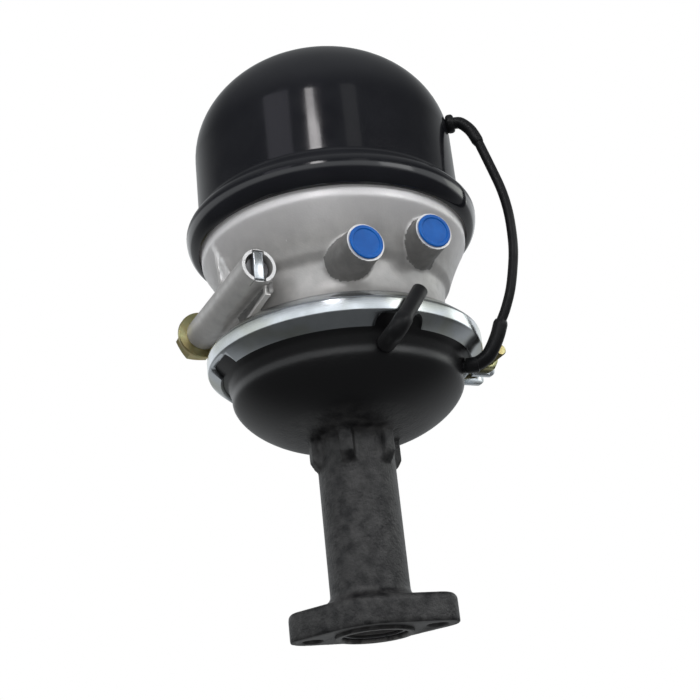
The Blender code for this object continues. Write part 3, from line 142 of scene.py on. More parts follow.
def calculate(tree: NodeTree, operation: str, first: Feed, second: Feed) -> NodeSocket:
    """Return the result of a sum on two values."""
    return add_node(tree, "Math", {0: first, 1: second}, operation=operation).outputs[0]


def spread(tree: NodeTree, value: NodeSocket, low: float, high: float, start: float, end: float,
           **settings: str) -> NodeSocket:
    """Return a value moved from one range to another.

    Args:
        tree: The tree.
        value: The value to read.
        low: Result at start.
        high: Result at end.
        start: Lowest value read.
        end: Highest value read.
        settings: The node's own properties.

    Returns:
        The value in the new range.
    """
    return add_node(tree, "MapRange", {"Value": value, "From Min": start, "From Max": end,
                                       "To Min": low, "To Max": high}, **settings).outputs[0]


class Graph:
    """A material's node tree, with short calls for the nodes that the finishes use."""

    ease = 0.004

    def __init__(self, name: str) -> None:
        """Start a material of one Principled shader."""
        self.material: Material = bpy.data.materials.new(name)
        self.material.use_nodes = True
        self.tree: NodeTree = self.material.node_tree
        self.shader: Node = self.tree.nodes["Principled BSDF"]
        self.coordinates: NodeSocket = self.add("TexCoord").outputs["Object"]

    def add(self, kind: str, feeds: Mapping[str | int, Feed] | None = None,
            **settings: str) -> Node:
        """Add a node to the material."""
        return add_node(self.tree, kind, feeds or {}, **settings)

    def set(self, socket: str, value: Feed) -> None:
        """Give one of the shader's sockets a constant or an output."""
        feed(self.tree, self.shader.inputs[socket], value)

    def colour(self) -> NodeSocket:
        """Return what feeds the base colour so far."""
        return self.shader.inputs["Base Color"].links[0].from_socket

    def stretched(self, scale: Triple) -> NodeSocket:
        """Return the object coordinates, finer by a factor along each axis."""
        return self.add("Mapping", {"Vector": self.coordinates, "Scale": scale}).outputs[0]

    def height(self) -> NodeSocket:
        """Return how high the object is at a point."""
        return self.add("SeparateXYZ", {0: self.coordinates}).outputs["Z"]

    def noise(self, scale: float, detail: float = 3.0, vector: NodeSocket | None = None,
              distortion: float = 0.0) -> NodeSocket:
        """Return the value of a noise texture.

        Args:
            scale: Cells per metre.
            detail: Octaves.
            vector: Coordinates, or None for the object's own.
            distortion: How far the cells are drawn out of shape.

        Returns:
            The noise from 0 to 1.
        """
        return self.add("TexNoise", {"Scale": scale, "Detail": detail, "Distortion": distortion,
                                     "Vector": vector or self.coordinates}).outputs["Fac"]

    def cells(self, scale: float) -> NodeSocket:
        """Return the distance value of a cell texture, for pits and grains."""
        return self.add("TexVoronoi", {"Scale": scale, "Vector": self.coordinates}
                        ).outputs["Distance"]

    def ramp(self, value: NodeSocket, stops: Sequence[tuple[float, Colour]]) -> NodeSocket:
        """Return a colour read from a ramp with two stops, given as places and colours."""
        node = self.add("ValToRGB", {"Fac": value})
        for element, (place, colour) in zip(node.color_ramp.elements, stops):
            element.position = place
            element.color = (*colour, 1.0)
        return node.outputs["Color"]

    def spread(self, value: NodeSocket, low: float, high: float, start: float = 0.3,
               end: float = 0.7) -> NodeSocket:
        """Return a value moved from the range start to end into the range low to high."""
        return spread(self.tree, value, low, high, start, end)

    def blend(self, share: Feed, first: Feed, second: Feed) -> NodeSocket:
        """Return a mix of two colours, with the given share of the second one."""
        return self.add("Mix", {0: share, 6: first, 7: second}, data_type="RGBA").outputs[2]

    def edges(self, start: float, end: float) -> NodeSocket:
        """Return how sharply the surface turns outwards, for worn edges."""
        return self.spread(self.add("NewGeometry").outputs["Pointiness"], 0.0, 1.0, start, end)

    def above(self, height: float, below: float, over: float) -> NodeSocket:
        """Return a value that changes where the object rises past a height."""
        return self.spread(self.height(), below, over, height - self.ease, height + self.ease)

    def bump(self, heights: Iterable[tuple[NodeSocket, Feed, float]]) -> None:
        """Chain bumps into the shader's normal.

        Args:
            heights: For each bump its height value, strength and distance in metres.
        """
        feeds: dict[str | int, Feed] = {}
        for height, strength, distance in heights:
            feeds |= {"Height": height, "Strength": strength, "Distance": distance}
            feeds["Normal"] = self.add("Bump", feeds).outputs["Normal"]
        self.set("Normal", feeds["Normal"])


@dataclass(frozen=True)
class Finish:
    """What every finish has: a name, a slot, two colours that a noise mixes, a roughness range."""

    name: str
    slot: Slot
    dark: Colour
    light: Colour
    roughness: tuple[float, float]
    mottle: float = 60.0
    metallic: float = 0.0
    levels: tuple[tuple[str, float], ...] = ()
    layers: tuple[tuple[float, float, float, float], ...] = ()

    def material(self) -> Material:
        """Return the finish as a material, made once."""
        return bpy.data.materials.get(self.name) or self.build()

    def build(self) -> Material:
        """Make the material."""
        graph = Graph(self.name)
        graph.set("Metallic", self.metallic)
        mottle = graph.noise(self.mottle, 4.0)
        graph.set("Base Color", graph.ramp(mottle, ((0.32, self.dark), (0.68, self.light))))
        graph.set("Roughness", graph.spread(graph.noise(self.mottle * 2.3, 5.0), *self.roughness))
        for socket, level in self.levels:
            graph.set(socket, level)
        self.dress(graph)
        return graph.material

    def dress(self, graph: Graph) -> None:
        """Add what sets this finish apart: layers of noise, each with its own fineness."""
        if self.layers:
            graph.bump((graph.noise(scale, detail), strength, distance)
                       for scale, detail, strength, distance in self.layers)


@dataclass(frozen=True)
class SandCast(Finish):
    """Surface of a sand casting: grain, shallow waves, pits and rubbed edges."""

    grain: float = 900.0
    depth: float = 0.00035
    strength: float = 0.35
    rub: Colour = (0.8, 0.79, 0.77)
    rub_share: tuple[float, float] = (0.53, 0.62)
    waves: float = 0.25
    wave_grain: float = 0.12
    pit_grain: float = 0.45
    pits: float = 0.35
    smooth_above: float = 1.0
    smooth_share: float = 1.0
    smooth_gloss: float = 0.75

    def dress(self, graph: Graph) -> None:
        """Add the cast grain, lighter rubbed edges and, on some, a smoother upper part."""
        graph.set("Base Color", graph.blend(graph.edges(*self.rub_share), graph.colour(), self.rub))
        pits = graph.spread(graph.cells(self.grain * self.pit_grain), 0.0, 1.0, 0.0, 0.35)
        share = graph.above(self.smooth_above, 1.0, self.smooth_share)
        layers = ((graph.noise(self.grain * self.wave_grain), self.waves, 2.0),
                  (graph.noise(self.grain, 4.0), 1.0, 1.0), (pits, self.pits, 0.6))
        graph.bump((height, calculate(graph.tree, "MULTIPLY", share, self.strength * part),
                    self.depth * times) for height, part, times in layers)
        if self.smooth_share < 1.0:
            graph.set("Specular IOR Level", self.smooth_gloss)
            upper = graph.above(self.smooth_above, 0.0, 1.0)
            graph.set("Base Color", graph.blend(upper, graph.colour(), self.dark))
            graph.set("Roughness", graph.above(self.smooth_above, *self.roughness[::-1]))


@dataclass(frozen=True)
class BellCast(SandCast):
    """Sand casting with a painted highlight: its colour turns lighter in a band under its upper
    rim.
    """

    highlight_colour: Colour = (0.86, 0.85, 0.86)
    highlight_share: float = 0.9
    highlight_zone: tuple[float, float] = (0.232, 0.258)

    def dress(self, graph: Graph) -> None:
        """Add the cast surface, then the painted highlight under the rim."""
        super().dress(graph)
        share = graph.spread(graph.height(), 0.0, self.highlight_share, *self.highlight_zone)
        graph.set("Base Color", graph.blend(share, graph.colour(), self.highlight_colour))


@dataclass(frozen=True)
class Plating(Finish):
    """Zinc plate on steel: a clouded sheen, drawn lines and a tint that changes over it."""

    tint: Colour = (0.62, 0.68, 0.78)
    tint_scale: float = 28.0
    tint_share: float = 0.85
    lines: Triple = (14.0, 14.0, 240.0)

    def dress(self, graph: Graph) -> None:
        """Add the tint, the drawn lines and a fine grain."""
        clouds = graph.noise(self.tint_scale, 2.0, distortion=0.6)
        share = graph.spread(clouds, 0.0, self.tint_share, 0.42, 0.66)
        graph.set("Base Color", graph.blend(share, graph.colour(), self.tint))
        drawn = graph.noise(6.0, 4.0, graph.stretched(self.lines))
        graph.bump(((drawn, 0.06, 0.0002), (graph.noise(1800.0, 3.0), 0.06, 0.00008)))


@dataclass(frozen=True)
class TurnedSteel(Finish):
    """Steel with the rings that a lathe leaves round the chamber's axis."""

    pitch: float = 900.0
    bands: Triple = (1.0, 1.0, 320.0)

    def dress(self, graph: Graph) -> None:
        """Add the turning rings on end faces and the bands along the sides."""
        rings = graph.add("TexWave", {"Scale": self.pitch, "Distortion": 1.5,
                                      "Vector": graph.coordinates},
                          wave_type="RINGS", rings_direction="Z").outputs["Fac"]
        bands = graph.noise(8.0, 4.0, graph.stretched(self.bands))
        graph.bump(((rings, 0.10, 0.0001), (bands, 0.15, 0.00015)))


DOME_BLACK = Finish("gloss_black_enamel", Slot.DOME, (0.0054, 0.0057, 0.0076),
                    (0.0074, 0.0078, 0.0100), (0.11, 0.17), mottle=35.0,
                    levels=(("Coat Weight", 0.25), ("Coat Roughness", 0.05),
                            ("Specular IOR Level", 0.45)),
                    layers=((260.0, 2.0, 0.05, 0.0002), (1500.0, 2.0, 0.03, 0.00004)))
# Cast aluminium of the flange housing, with the painted highlight under its bell's rim.
CAST_ALUMINIUM = BellCast("sand_cast_aluminium", Slot.ALUMINIUM, (0.435, 0.430, 0.425),
                          (0.530, 0.523, 0.512), (0.36, 0.48), mottle=110.0, metallic=0.62,
                          strength=0.28, waves=0.2)
# Machined aluminium of the port and pocket faces, also used as a painted highlight on the gusset's
# face.
MACHINED_AND_HIGHLIT_FACE = Finish("machined_and_highlight_aluminium", Slot.ALUMINIUM, (0.60, 0.60, 0.60),
                       (0.72, 0.72, 0.72), (0.30, 0.42), mottle=300.0, metallic=0.6)
# Darker copy of the cast aluminium: painted shade on the flanks of the port bosses and on the web
# under the stud pocket.
SHADED_ALUMINIUM = SandCast("painted_shade_aluminium", Slot.ALUMINIUM, (0.150, 0.150, 0.148),
                            (0.205, 0.203, 0.200), (0.42, 0.55), mottle=110.0, metallic=0.5,
                            strength=0.4, waves=0.3)
CAST_BLACK = SandCast("black_painted_casting", Slot.BLACK_CASTING, (0.0026, 0.0026, 0.0031),
                      (0.0285, 0.0283, 0.0285), (0.35, 0.48), mottle=150.0, grain=520.0,
                      depth=0.0007, strength=0.6, rub=(0.07, 0.068, 0.066),
                      rub_share=(0.55, 0.70), waves=0.4, smooth_above=0.128, smooth_share=0.10)
BRIGHT_ZINC = Plating("bright_zinc_plate", Slot.ZINC, (0.66, 0.70, 0.73), (0.80, 0.84, 0.88),
                      (0.17, 0.27), mottle=45.0, metallic=1.0, tint=(0.62, 0.64, 0.56))
YELLOW_ZINC = Plating("yellow_zinc_plate", Slot.YELLOW_ZINC, (0.48, 0.40, 0.18),
                      (0.66, 0.54, 0.27), (0.26, 0.38), mottle=160.0, metallic=1.0,
                      tint=(0.52, 0.55, 0.30), tint_scale=90.0)
BLACK_RUBBER = Finish("black_rubber_skin", Slot.RUBBER, (0.0032, 0.0034, 0.0040),
                      (0.0062, 0.0064, 0.0071), (0.34, 0.48), mottle=110.0,
                      levels=(("Specular IOR Level", 0.30), ("Sheen Weight", 0.02)),
                      layers=((2200.0, 3.0, 0.16, 0.00008), (180.0, 2.0, 0.12, 0.0003)))
BLUE_PLUG = Finish("blue_plug_plastic", Slot.BLUE, (0.003, 0.072, 0.30), (0.005, 0.095, 0.37),
                   (0.36, 0.48), mottle=140.0, levels=(("Specular IOR Level", 0.22),),
                   layers=((1400.0, 2.0, 0.10, 0.00006), (120.0, 2.0, 0.10, 0.0004)))
GUIDE_BLACK = replace(BLUE_PLUG, name="guide_nylon", slot=Slot.GUIDE,
                      dark=(0.030, 0.030, 0.031), light=(0.052, 0.051, 0.050),
                      roughness=(0.42, 0.56))
LATHE_STEEL = TurnedSteel("turned_steel_rings", Slot.TURNED, (0.40, 0.40, 0.41),
                          (0.56, 0.56, 0.57), (0.24, 0.36), mottle=90.0, metallic=1.0)
# Dark coated steel of the springs, also used as painted shade on the stowed stud where it lies deep
# in its pocket.
SPRING_COAT_AND_SHADE = SandCast("coated_spring_steel_and_shade", Slot.SPRING, (0.05, 0.05, 0.055),
                         (0.09, 0.09, 0.095), (0.34, 0.48), mottle=120.0, metallic=0.4,
                         grain=1400.0, depth=0.0001, strength=0.2, rub=(0.16, 0.16, 0.165))


# ---- Mesh making ----

def arc(centre: Sequence[float], radii: Sequence[float], start: float, end: float,
        steps: int) -> list[Vector]:
    """Return points along a part of an ellipse.

    Args:
        centre: The ellipse's centre.
        radii: Its two half axes.
        start: Angle of the first point.
        end: Angle of the last point.
        steps: Stretches between the points.

    Returns:
        The points.
    """
    angles = [start + (end - start) * step / steps for step in range(steps + 1)]
    return [Vector((centre[0] + radii[0] * cos(angle), centre[1] + radii[1] * sin(angle)))
            for angle in angles]


def rounded_path(corners: Profile, closed: bool = False) -> list[Vector]:
    """Round the corners of a profile that ask for it.

    Args:
        corners: The corners in order, as (radius, height) or (radius, height, rounding).
        closed: Whether the last corner joins the first.

    Returns:
        The points of the rounded profile.
    """
    places = [Vector(corner[:2]) for corner in corners]
    points: list[Vector] = []
    for index, (here, corner) in enumerate(zip(places, corners)):
        back = places[index - 1] - here
        ahead = places[(index + 1) % len(places)] - here
        rounded = len(corner) > 2 and (closed or 0 < index < len(places) - 1)
        bend = pi - back.angle(ahead) if rounded else 0.0
        if bend < 0.02:
            points.append(here)
            continue
        reach = min(corner[2] * tan(bend / 2), 0.49 * back.length, 0.49 * ahead.length)
        radius = reach / tan(bend / 2)
        middle = (back.normalized() + ahead.normalized()).normalized()
        centre = here + middle * (radius / cos(bend / 2))
        arm = here + back.normalized() * reach - centre
        side = 1.0 if back.x * ahead.y - back.y * ahead.x < 0 else -1.0
        steps = max(2, ceil(degrees(bend) / 15))
        for step in range(steps + 1):
            points.append(centre + Matrix.Rotation(side * bend * step / steps, 2) @ arm)
    return points


def inset_path(path: Sequence[Vector], distance: float) -> list[Vector]:
    """Return a profile shifted by a distance towards the axis side on its way down."""
    shifted = []
    for index, here in enumerate(path):
        before, after = path[max(index - 1, 0)], path[min(index + 1, len(path) - 1)]
        normals = [Vector((step.y, -step.x)).normalized()
                   for step in (here - before, after - here) if step.length > 0.0]
        normal = sum(normals, Vector((0.0, 0.0))).normalized()
        shifted.append(here + normal * (distance / normal.dot(normals[0])))
    return shifted


def sealed(bm: BMesh) -> BMesh:
    """Fill a mesh's open rims, turn its faces outwards and return it."""
    rims = [edge for edge in bm.edges if edge.is_boundary]
    bmesh.ops.holes_fill(bm, edges=rims, sides=0)
    bmesh.ops.recalc_face_normals(bm, faces=bm.faces)
    return bm


def bevel(bm: BMesh, edges: Iterable[BMEdge], offset: float, segments: int) -> None:
    """Round some edges of a mesh."""
    bmesh.ops.bevel(bm, geom=list(edges), offset=offset, segments=segments, profile=0.5,
                    affect="EDGES", material=-1)


def turn(corners: Profile, steps: int = ROUND_STEPS, closed: bool = False, start: float = 0.0,
         sweep: float = tau) -> BMesh:
    """Turn a profile round Z.

    Args:
        corners: The profile's corners, from top to bottom on the outer side.
        steps: Segments of the turn.
        closed: Whether the profile is a loop, as for a ring.
        start: Angle at which the turn starts.
        sweep: Angle of the turn, capped at both ends if it is less than a full one.

    Returns:
        The closed mesh.
    """
    bm = bmesh.new()
    verts = [bm.verts.new((point.x, 0.0, point.y)) for point in rounded_path(corners, closed)]
    pairs = list(zip(verts, verts[1:])) + [(verts[-1], verts[0])] * closed
    edges = [bm.edges.new(pair) for pair in pairs]
    bmesh.ops.rotate(bm, verts=verts, cent=(0, 0, 0), matrix=Matrix.Rotation(start, 3, "Z"))
    bmesh.ops.spin(bm, geom=verts + edges, cent=(0, 0, 0), axis=(0, 0, 1), angle=sweep,
                   steps=steps, use_merge=isclose(sweep, tau), use_duplicate=False)
    bmesh.ops.remove_doubles(bm, verts=bm.verts, dist=WELD)
    return sealed(bm)


def rod(start: float, end: float, radius: float, steps: int = SMALL_STEPS, chamfer: float = 0.0,
        segments: int = 2) -> BMesh:
    """Make a round bar along X.

    Args:
        start: Where it starts along X.
        end: Where it ends along X.
        radius: Its radius.
        steps: Segments round it.
        chamfer: Width of the bevel on its two rims.
        segments: Segments of that bevel.

    Returns:
        The closed mesh.
    """
    bm = bmesh.new()
    bmesh.ops.create_cone(bm, cap_ends=True, segments=steps, radius1=radius, radius2=radius,
                          depth=end - start,
                          matrix=Matrix.Translation(((start + end) / 2, 0.0, 0.0)) @ Z_TO_X)
    if chamfer > 0.0:
        rims = [edge for edge in bm.edges if edge.calc_face_angle(0.0) > radians(50)]
        bevel(bm, rims, chamfer, segments)
    return bm


def slab(low: Sequence[float], high: Sequence[float], rounding: float = 0.0,
         segments: int = 3) -> BMesh:
    """Make a block between two corners.

    Args:
        low: Lowest corner.
        high: Highest corner.
        rounding: Radius of its edges.
        segments: Segments of the rounding.

    Returns:
        The closed mesh.
    """
    bm = bmesh.new()
    size, centre = Vector(high) - Vector(low), (Vector(high) + Vector(low)) / 2
    bmesh.ops.create_cube(bm, size=1.0, matrix=Matrix.Translation(centre)
                          @ Matrix.Diagonal((*size, 1.0)))
    if rounding > 0.0:
        bevel(bm, bm.edges, rounding, segments)
    return bm


def plate(outline: Profile, thickness: float) -> BMesh:
    """Extrude a flat outline of (x, y) points upwards by a thickness."""
    bm = bmesh.new()
    face = bm.faces.new([bm.verts.new((*point, 0.0)) for point in outline])
    raised = bmesh.ops.extrude_face_region(bm, geom=[face])["geom"]
    bmesh.ops.translate(bm, verts=[item for item in raised if isinstance(item, BMVert)],
                        vec=(0.0, 0.0, thickness))
    bmesh.ops.recalc_face_normals(bm, faces=bm.faces)
    return bm


def tube_along(points: Sequence[Vector], radii: Sequence[float], sides: int = 24) -> BMesh:
    """Sweep a round section along points, with a radius for each of them.

    Args:
        points: Points on the tube's middle line.
        radii: Radius at each point.
        sides: Sides of the section.

    Returns:
        The closed mesh.
    """
    bm = bmesh.new()
    rings: list[list[BMEdge]] = []
    side = Vector((0.0, 1.0, 0.0))
    for index, (point, radius) in enumerate(zip(points, radii)):
        ahead = points[min(index + 1, len(points) - 1)] - points[max(index - 1, 0)]
        ahead.normalize()
        side = (side - ahead * side.dot(ahead)).normalized()
        facing = Matrix((side, ahead.cross(side), ahead)).transposed().to_4x4()
        ring = bmesh.ops.create_circle(bm, cap_ends=False, segments=sides, radius=radius,
                                       matrix=Matrix.Translation(point) @ facing)["verts"]
        rings.append([edge for edge in bm.edges
                      if edge.verts[0] in ring and edge.verts[1] in ring])
    for first, second in zip(rings, rings[1:]):
        bmesh.ops.bridge_loops(bm, edges=first + second)
    return sealed(bm)


def smooth_route(knots: Sequence[Vector], per_span: int) -> list[Vector]:
    """Return points along one smooth curve through knots, with so many for each span."""
    ends = [knots[0] * 2 - knots[1], *knots, knots[-1] * 2 - knots[-2]]
    points: list[Vector] = []
    for before, start, end, after in zip(ends, ends[1:], ends[2:], ends[3:]):
        for step in range(per_span):
            t = step / per_span
            points.append(0.5 * (2 * start + (end - before) * t
                                 + (2 * before - 5 * start + 4 * end - after) * t * t
                                 + (3 * start - before - 3 * end + after) * t * t * t))
    return [*points, knots[-1]]


def moved(bm: BMesh, matrix: Matrix) -> BMesh:
    """Place a mesh by a matrix and return it."""
    bmesh.ops.transform(bm, matrix=matrix, verts=bm.verts)
    return bm


def placed(azimuth: float, lateral: float = 0.0, height: float = 0.0,
           along: float = 0.0) -> Matrix:
    """Return the frame whose X points away from the chamber's axis at an azimuth."""
    return Matrix.Rotation(azimuth, 4, "Z") @ Matrix.Translation((along, lateral, height))


def copied(*meshes: bpy.types.Mesh) -> BMesh:
    """Return one new mesh that holds copies of some meshes."""
    bm = bmesh.new()
    for mesh in meshes:
        bm.from_mesh(mesh)
    return bm


def as_object(name: str, bm: BMesh) -> Object:
    """Link a mesh, which is freed, to the scene as an object."""
    mesh = bpy.data.meshes.new(name)
    bm.to_mesh(mesh)
    bm.free()
    item: Object = bpy.data.objects.new(name, mesh)
    bpy.context.scene.collection.objects.link(item)
    return item


def modify(item: Object, kind: str, **settings: object) -> None:
    """Run a modifier of a kind, with its settings, on an object's mesh."""
    modifier = item.modifiers.new("step", kind)
    for name, setting in settings.items():
        setattr(modifier, name, setting)
    bpy.context.view_layer.update()
    evaluated = item.evaluated_get(bpy.context.evaluated_depsgraph_get())
    old, item.data = item.data, bpy.data.meshes.new_from_object(evaluated)
    item.modifiers.clear()
    bpy.data.meshes.remove(old)


def combine(item: Object, tool: BMesh, cut: Cut = Cut.REMOVE) -> None:
    """Cut, join or trim an object with a tool's closed mesh, which is used up."""
    helper = as_object("tool", tool)
    modify(item, "BOOLEAN", operation=cut.value, solver="EXACT", object=helper)
    bpy.data.objects.remove(helper)


def fuse(name: str, blanks: Iterable[BMesh], voxel: float, passes: int) -> Object:
    """Melt several closed meshes into one casting with soft inner corners.

    Args:
        name: The casting's name.
        blanks: The meshes, which are used up.
        voxel: Size of the grid that they are melted on.
        passes: How often the skin is smoothed.

    Returns:
        The casting.
    """
    parts = [as_object("blank", blank) for blank in blanks]
    casting = as_object(name, copied(*(part.data for part in parts)))
    for part in parts:
        bpy.data.objects.remove(part)
    modify(casting, "REMESH", mode="VOXEL", voxel_size=voxel)
    bm = copied(casting.data)
    for _ in range(passes):
        bmesh.ops.smooth_vert(bm, verts=bm.verts, factor=0.5, use_axis_x=True, use_axis_y=True,
                              use_axis_z=True)
    bm.to_mesh(casting.data)
    bm.free()
    return casting


def give_looks(item: Object, finish: Finish, node: str, sharp: float) -> None:
    """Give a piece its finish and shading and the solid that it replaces.

    Args:
        item: The piece.
        finish: Its finish.
        node: Name of the solid that it replaces.
        sharp: Angle in degrees over which an edge stays sharp.
    """
    item.data.materials.clear()
    item.data.materials.append(finish.material())
    item.data.shade_smooth()
    item.data.set_sharp_from_angle(angle=radians(sharp))
    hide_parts(node)
    log.info("%s: %d faces for %s", item.name, len(item.data.polygons), node)


def finish_piece(item: Object, finish: Finish, node: str, sharp: float = 35.0) -> None:
    """Give a piece of the housing its looks and let it ride there."""
    give_looks(item, finish, node, sharp)
    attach(item, Body.HOUSING.value)


def paint_faces(item: Object, finish: Finish, chosen: FaceTest) -> None:
    """Give the faces whose centre and normal pass a test a finish of their own."""
    if finish.name not in item.data.materials:
        item.data.materials.append(finish.material())
    index = item.data.materials.find(finish.name)
    for face in item.data.polygons:
        if chosen(Vector(face.center), Vector(face.normal)):
            face.material_index = index


def in_box(place: Matrix, box: Sequence[tuple[float, float]], way: Triple,
           least: float) -> FaceTest:
    """Return a test for the faces in a box of a frame that look one way.

    Args:
        place: The frame.
        box: The box's range along each axis of the frame.
        way: Direction in the frame that the faces look along.
        least: How much of their normal lies along it at least.

    Returns:
        The test on a face's centre and normal.
    """
    inverse = place.inverted()
    turned, along = inverse.to_3x3(), Vector(way)

    def test(centre: Vector, normal: Vector) -> bool:
        """Tell whether a face is one of them."""
        return ((turned @ normal).dot(along) > least
                and all(low < value < high for value, (low, high) in zip(inverse @ centre, box)))

    return test


# ---- Shared sections ----

@dataclass(frozen=True)
class Joint:
    """Section of the clamped joint, shared by the clamp and the two castings."""

    plane: float = 0.181
    bead: float = 0.0026
    middle: float = 0.1798
    radius: float = 0.091
    web: float = 0.0098
    run: float = 0.008
    rise: float = 0.007
    thickness: float = 0.0023
    bends: tuple[float, float] = (0.0034, 0.0009)

    @property
    def top(self) -> float:
        """Height of the clamp's upper edge over the middle."""
        return self.web / 2 + self.rise

    def section(self, distance: float = 0.0) -> list[tuple[float, ...]]:
        """Clamp's section from its upper leg to its lower one, at a distance inside."""
        slant = hypot(self.run, self.rise)
        half = self.web / 2 - distance * (slant - self.rise) / self.run
        tip = self.radius - self.run - distance * self.rise / slant
        end = self.top - distance * self.run / slant
        wall, bend = self.radius - distance, self.bends[distance > 0.0]
        return [(tip, self.middle + end), (wall, self.middle + half, bend),
                (wall, self.middle - half, bend), (tip, self.middle - end)]

    def seat(self) -> Vector:
        """Outer corner of a casting's joint flange, above the middle."""
        return Vector(self.section(self.thickness + GAP)[1][:2])

    def slope(self, radius: float) -> float:
        """Height over the middle of a flange's sloping face at a radius."""
        corner = self.seat()
        return corner.y - self.middle + (corner.x - radius) * self.rise / self.run


JOINT = Joint()
PORT_AZIMUTH = radians(-53.0)


# ---- Sub-assemblies ----

@dataclass
class Dome:
    """Pressed steel spring housing with its rolled rim, and the plug in its crown."""

    shell: float = 0.003
    radius: float = 0.090
    shoulder: float = 0.335
    rise: float = 0.070
    rim_radius: float = 0.0995
    flare: float = 0.2878
    rim_top: float = 0.274
    curl: float = 0.0076
    rim_bottom: float = 0.2605
    flare_ease: float = 1.2
    wall_edge: float = 0.0014
    keyhole: float = 0.011
    plug_radius: float = 0.0155
    plug_head: float = 0.0028
    rim_steps: int = 10

    def rim(self) -> list[Vector]:
        """Outer side of the rolled rim, from the wall to the curl's lip."""
        path = []
        for step in range(self.rim_steps + 1):
            share = step / self.rim_steps
            out = (self.rim_radius - self.radius) * sin(share * pi / 2) ** self.flare_ease
            path.append(Vector((self.radius + out,
                                self.flare + (self.rim_top - self.flare) * share)))
        return path + arc((self.rim_radius - self.curl, self.rim_top),
                          (self.curl, self.rim_top - self.rim_bottom), 0.0, -pi / 2,
                          self.rim_steps)[1:]

    def crown(self, inset: float, steps: int) -> list[Vector]:
        """One side of the crown from the keyhole to the shoulder, at a distance inside."""
        radius = self.radius - inset
        return arc((0.0, self.shoulder), (radius, self.rise - inset),
                   acos(self.keyhole / radius), 0.0, steps)

    def build(self) -> None:
        """Build the shell and the crown plug."""
        wall = [(self.radius, self.shoulder - self.wall_edge),
                (self.radius, self.flare + self.wall_edge)]
        inside = self.crown(self.shell, 12) + inset_path(self.rim(), self.shell)
        ring = [*self.crown(0.0, 24), *wall, *self.rim(), *inside[::-1]]
        shell = as_object("dome_shell", turn(ring, FINE_STEPS, closed=True))
        finish_piece(shell, DOME_BLACK, "spring_housing", sharp=50.0)
        top = self.shoulder + self.rise * sin(acos(self.keyhole / self.radius))
        head, dish = top + self.plug_head, top + self.plug_head * 0.72
        foot, neck, wide = top - 2 * self.shell, self.keyhole - GAP, self.plug_radius
        plug = turn([(0.0, dish), (wide * 0.45, dish, 0.0008), (wide * 0.52, head, 0.0006),
                     (wide * 0.82, head, 0.0012), (wide, top + GAP, 0.0003), (neck, top + GAP),
                     (neck, foot, 0.001), (0.0, foot)])
        finish_piece(as_object("crown_plug", plug), BLACK_RUBBER, "dust_plug")


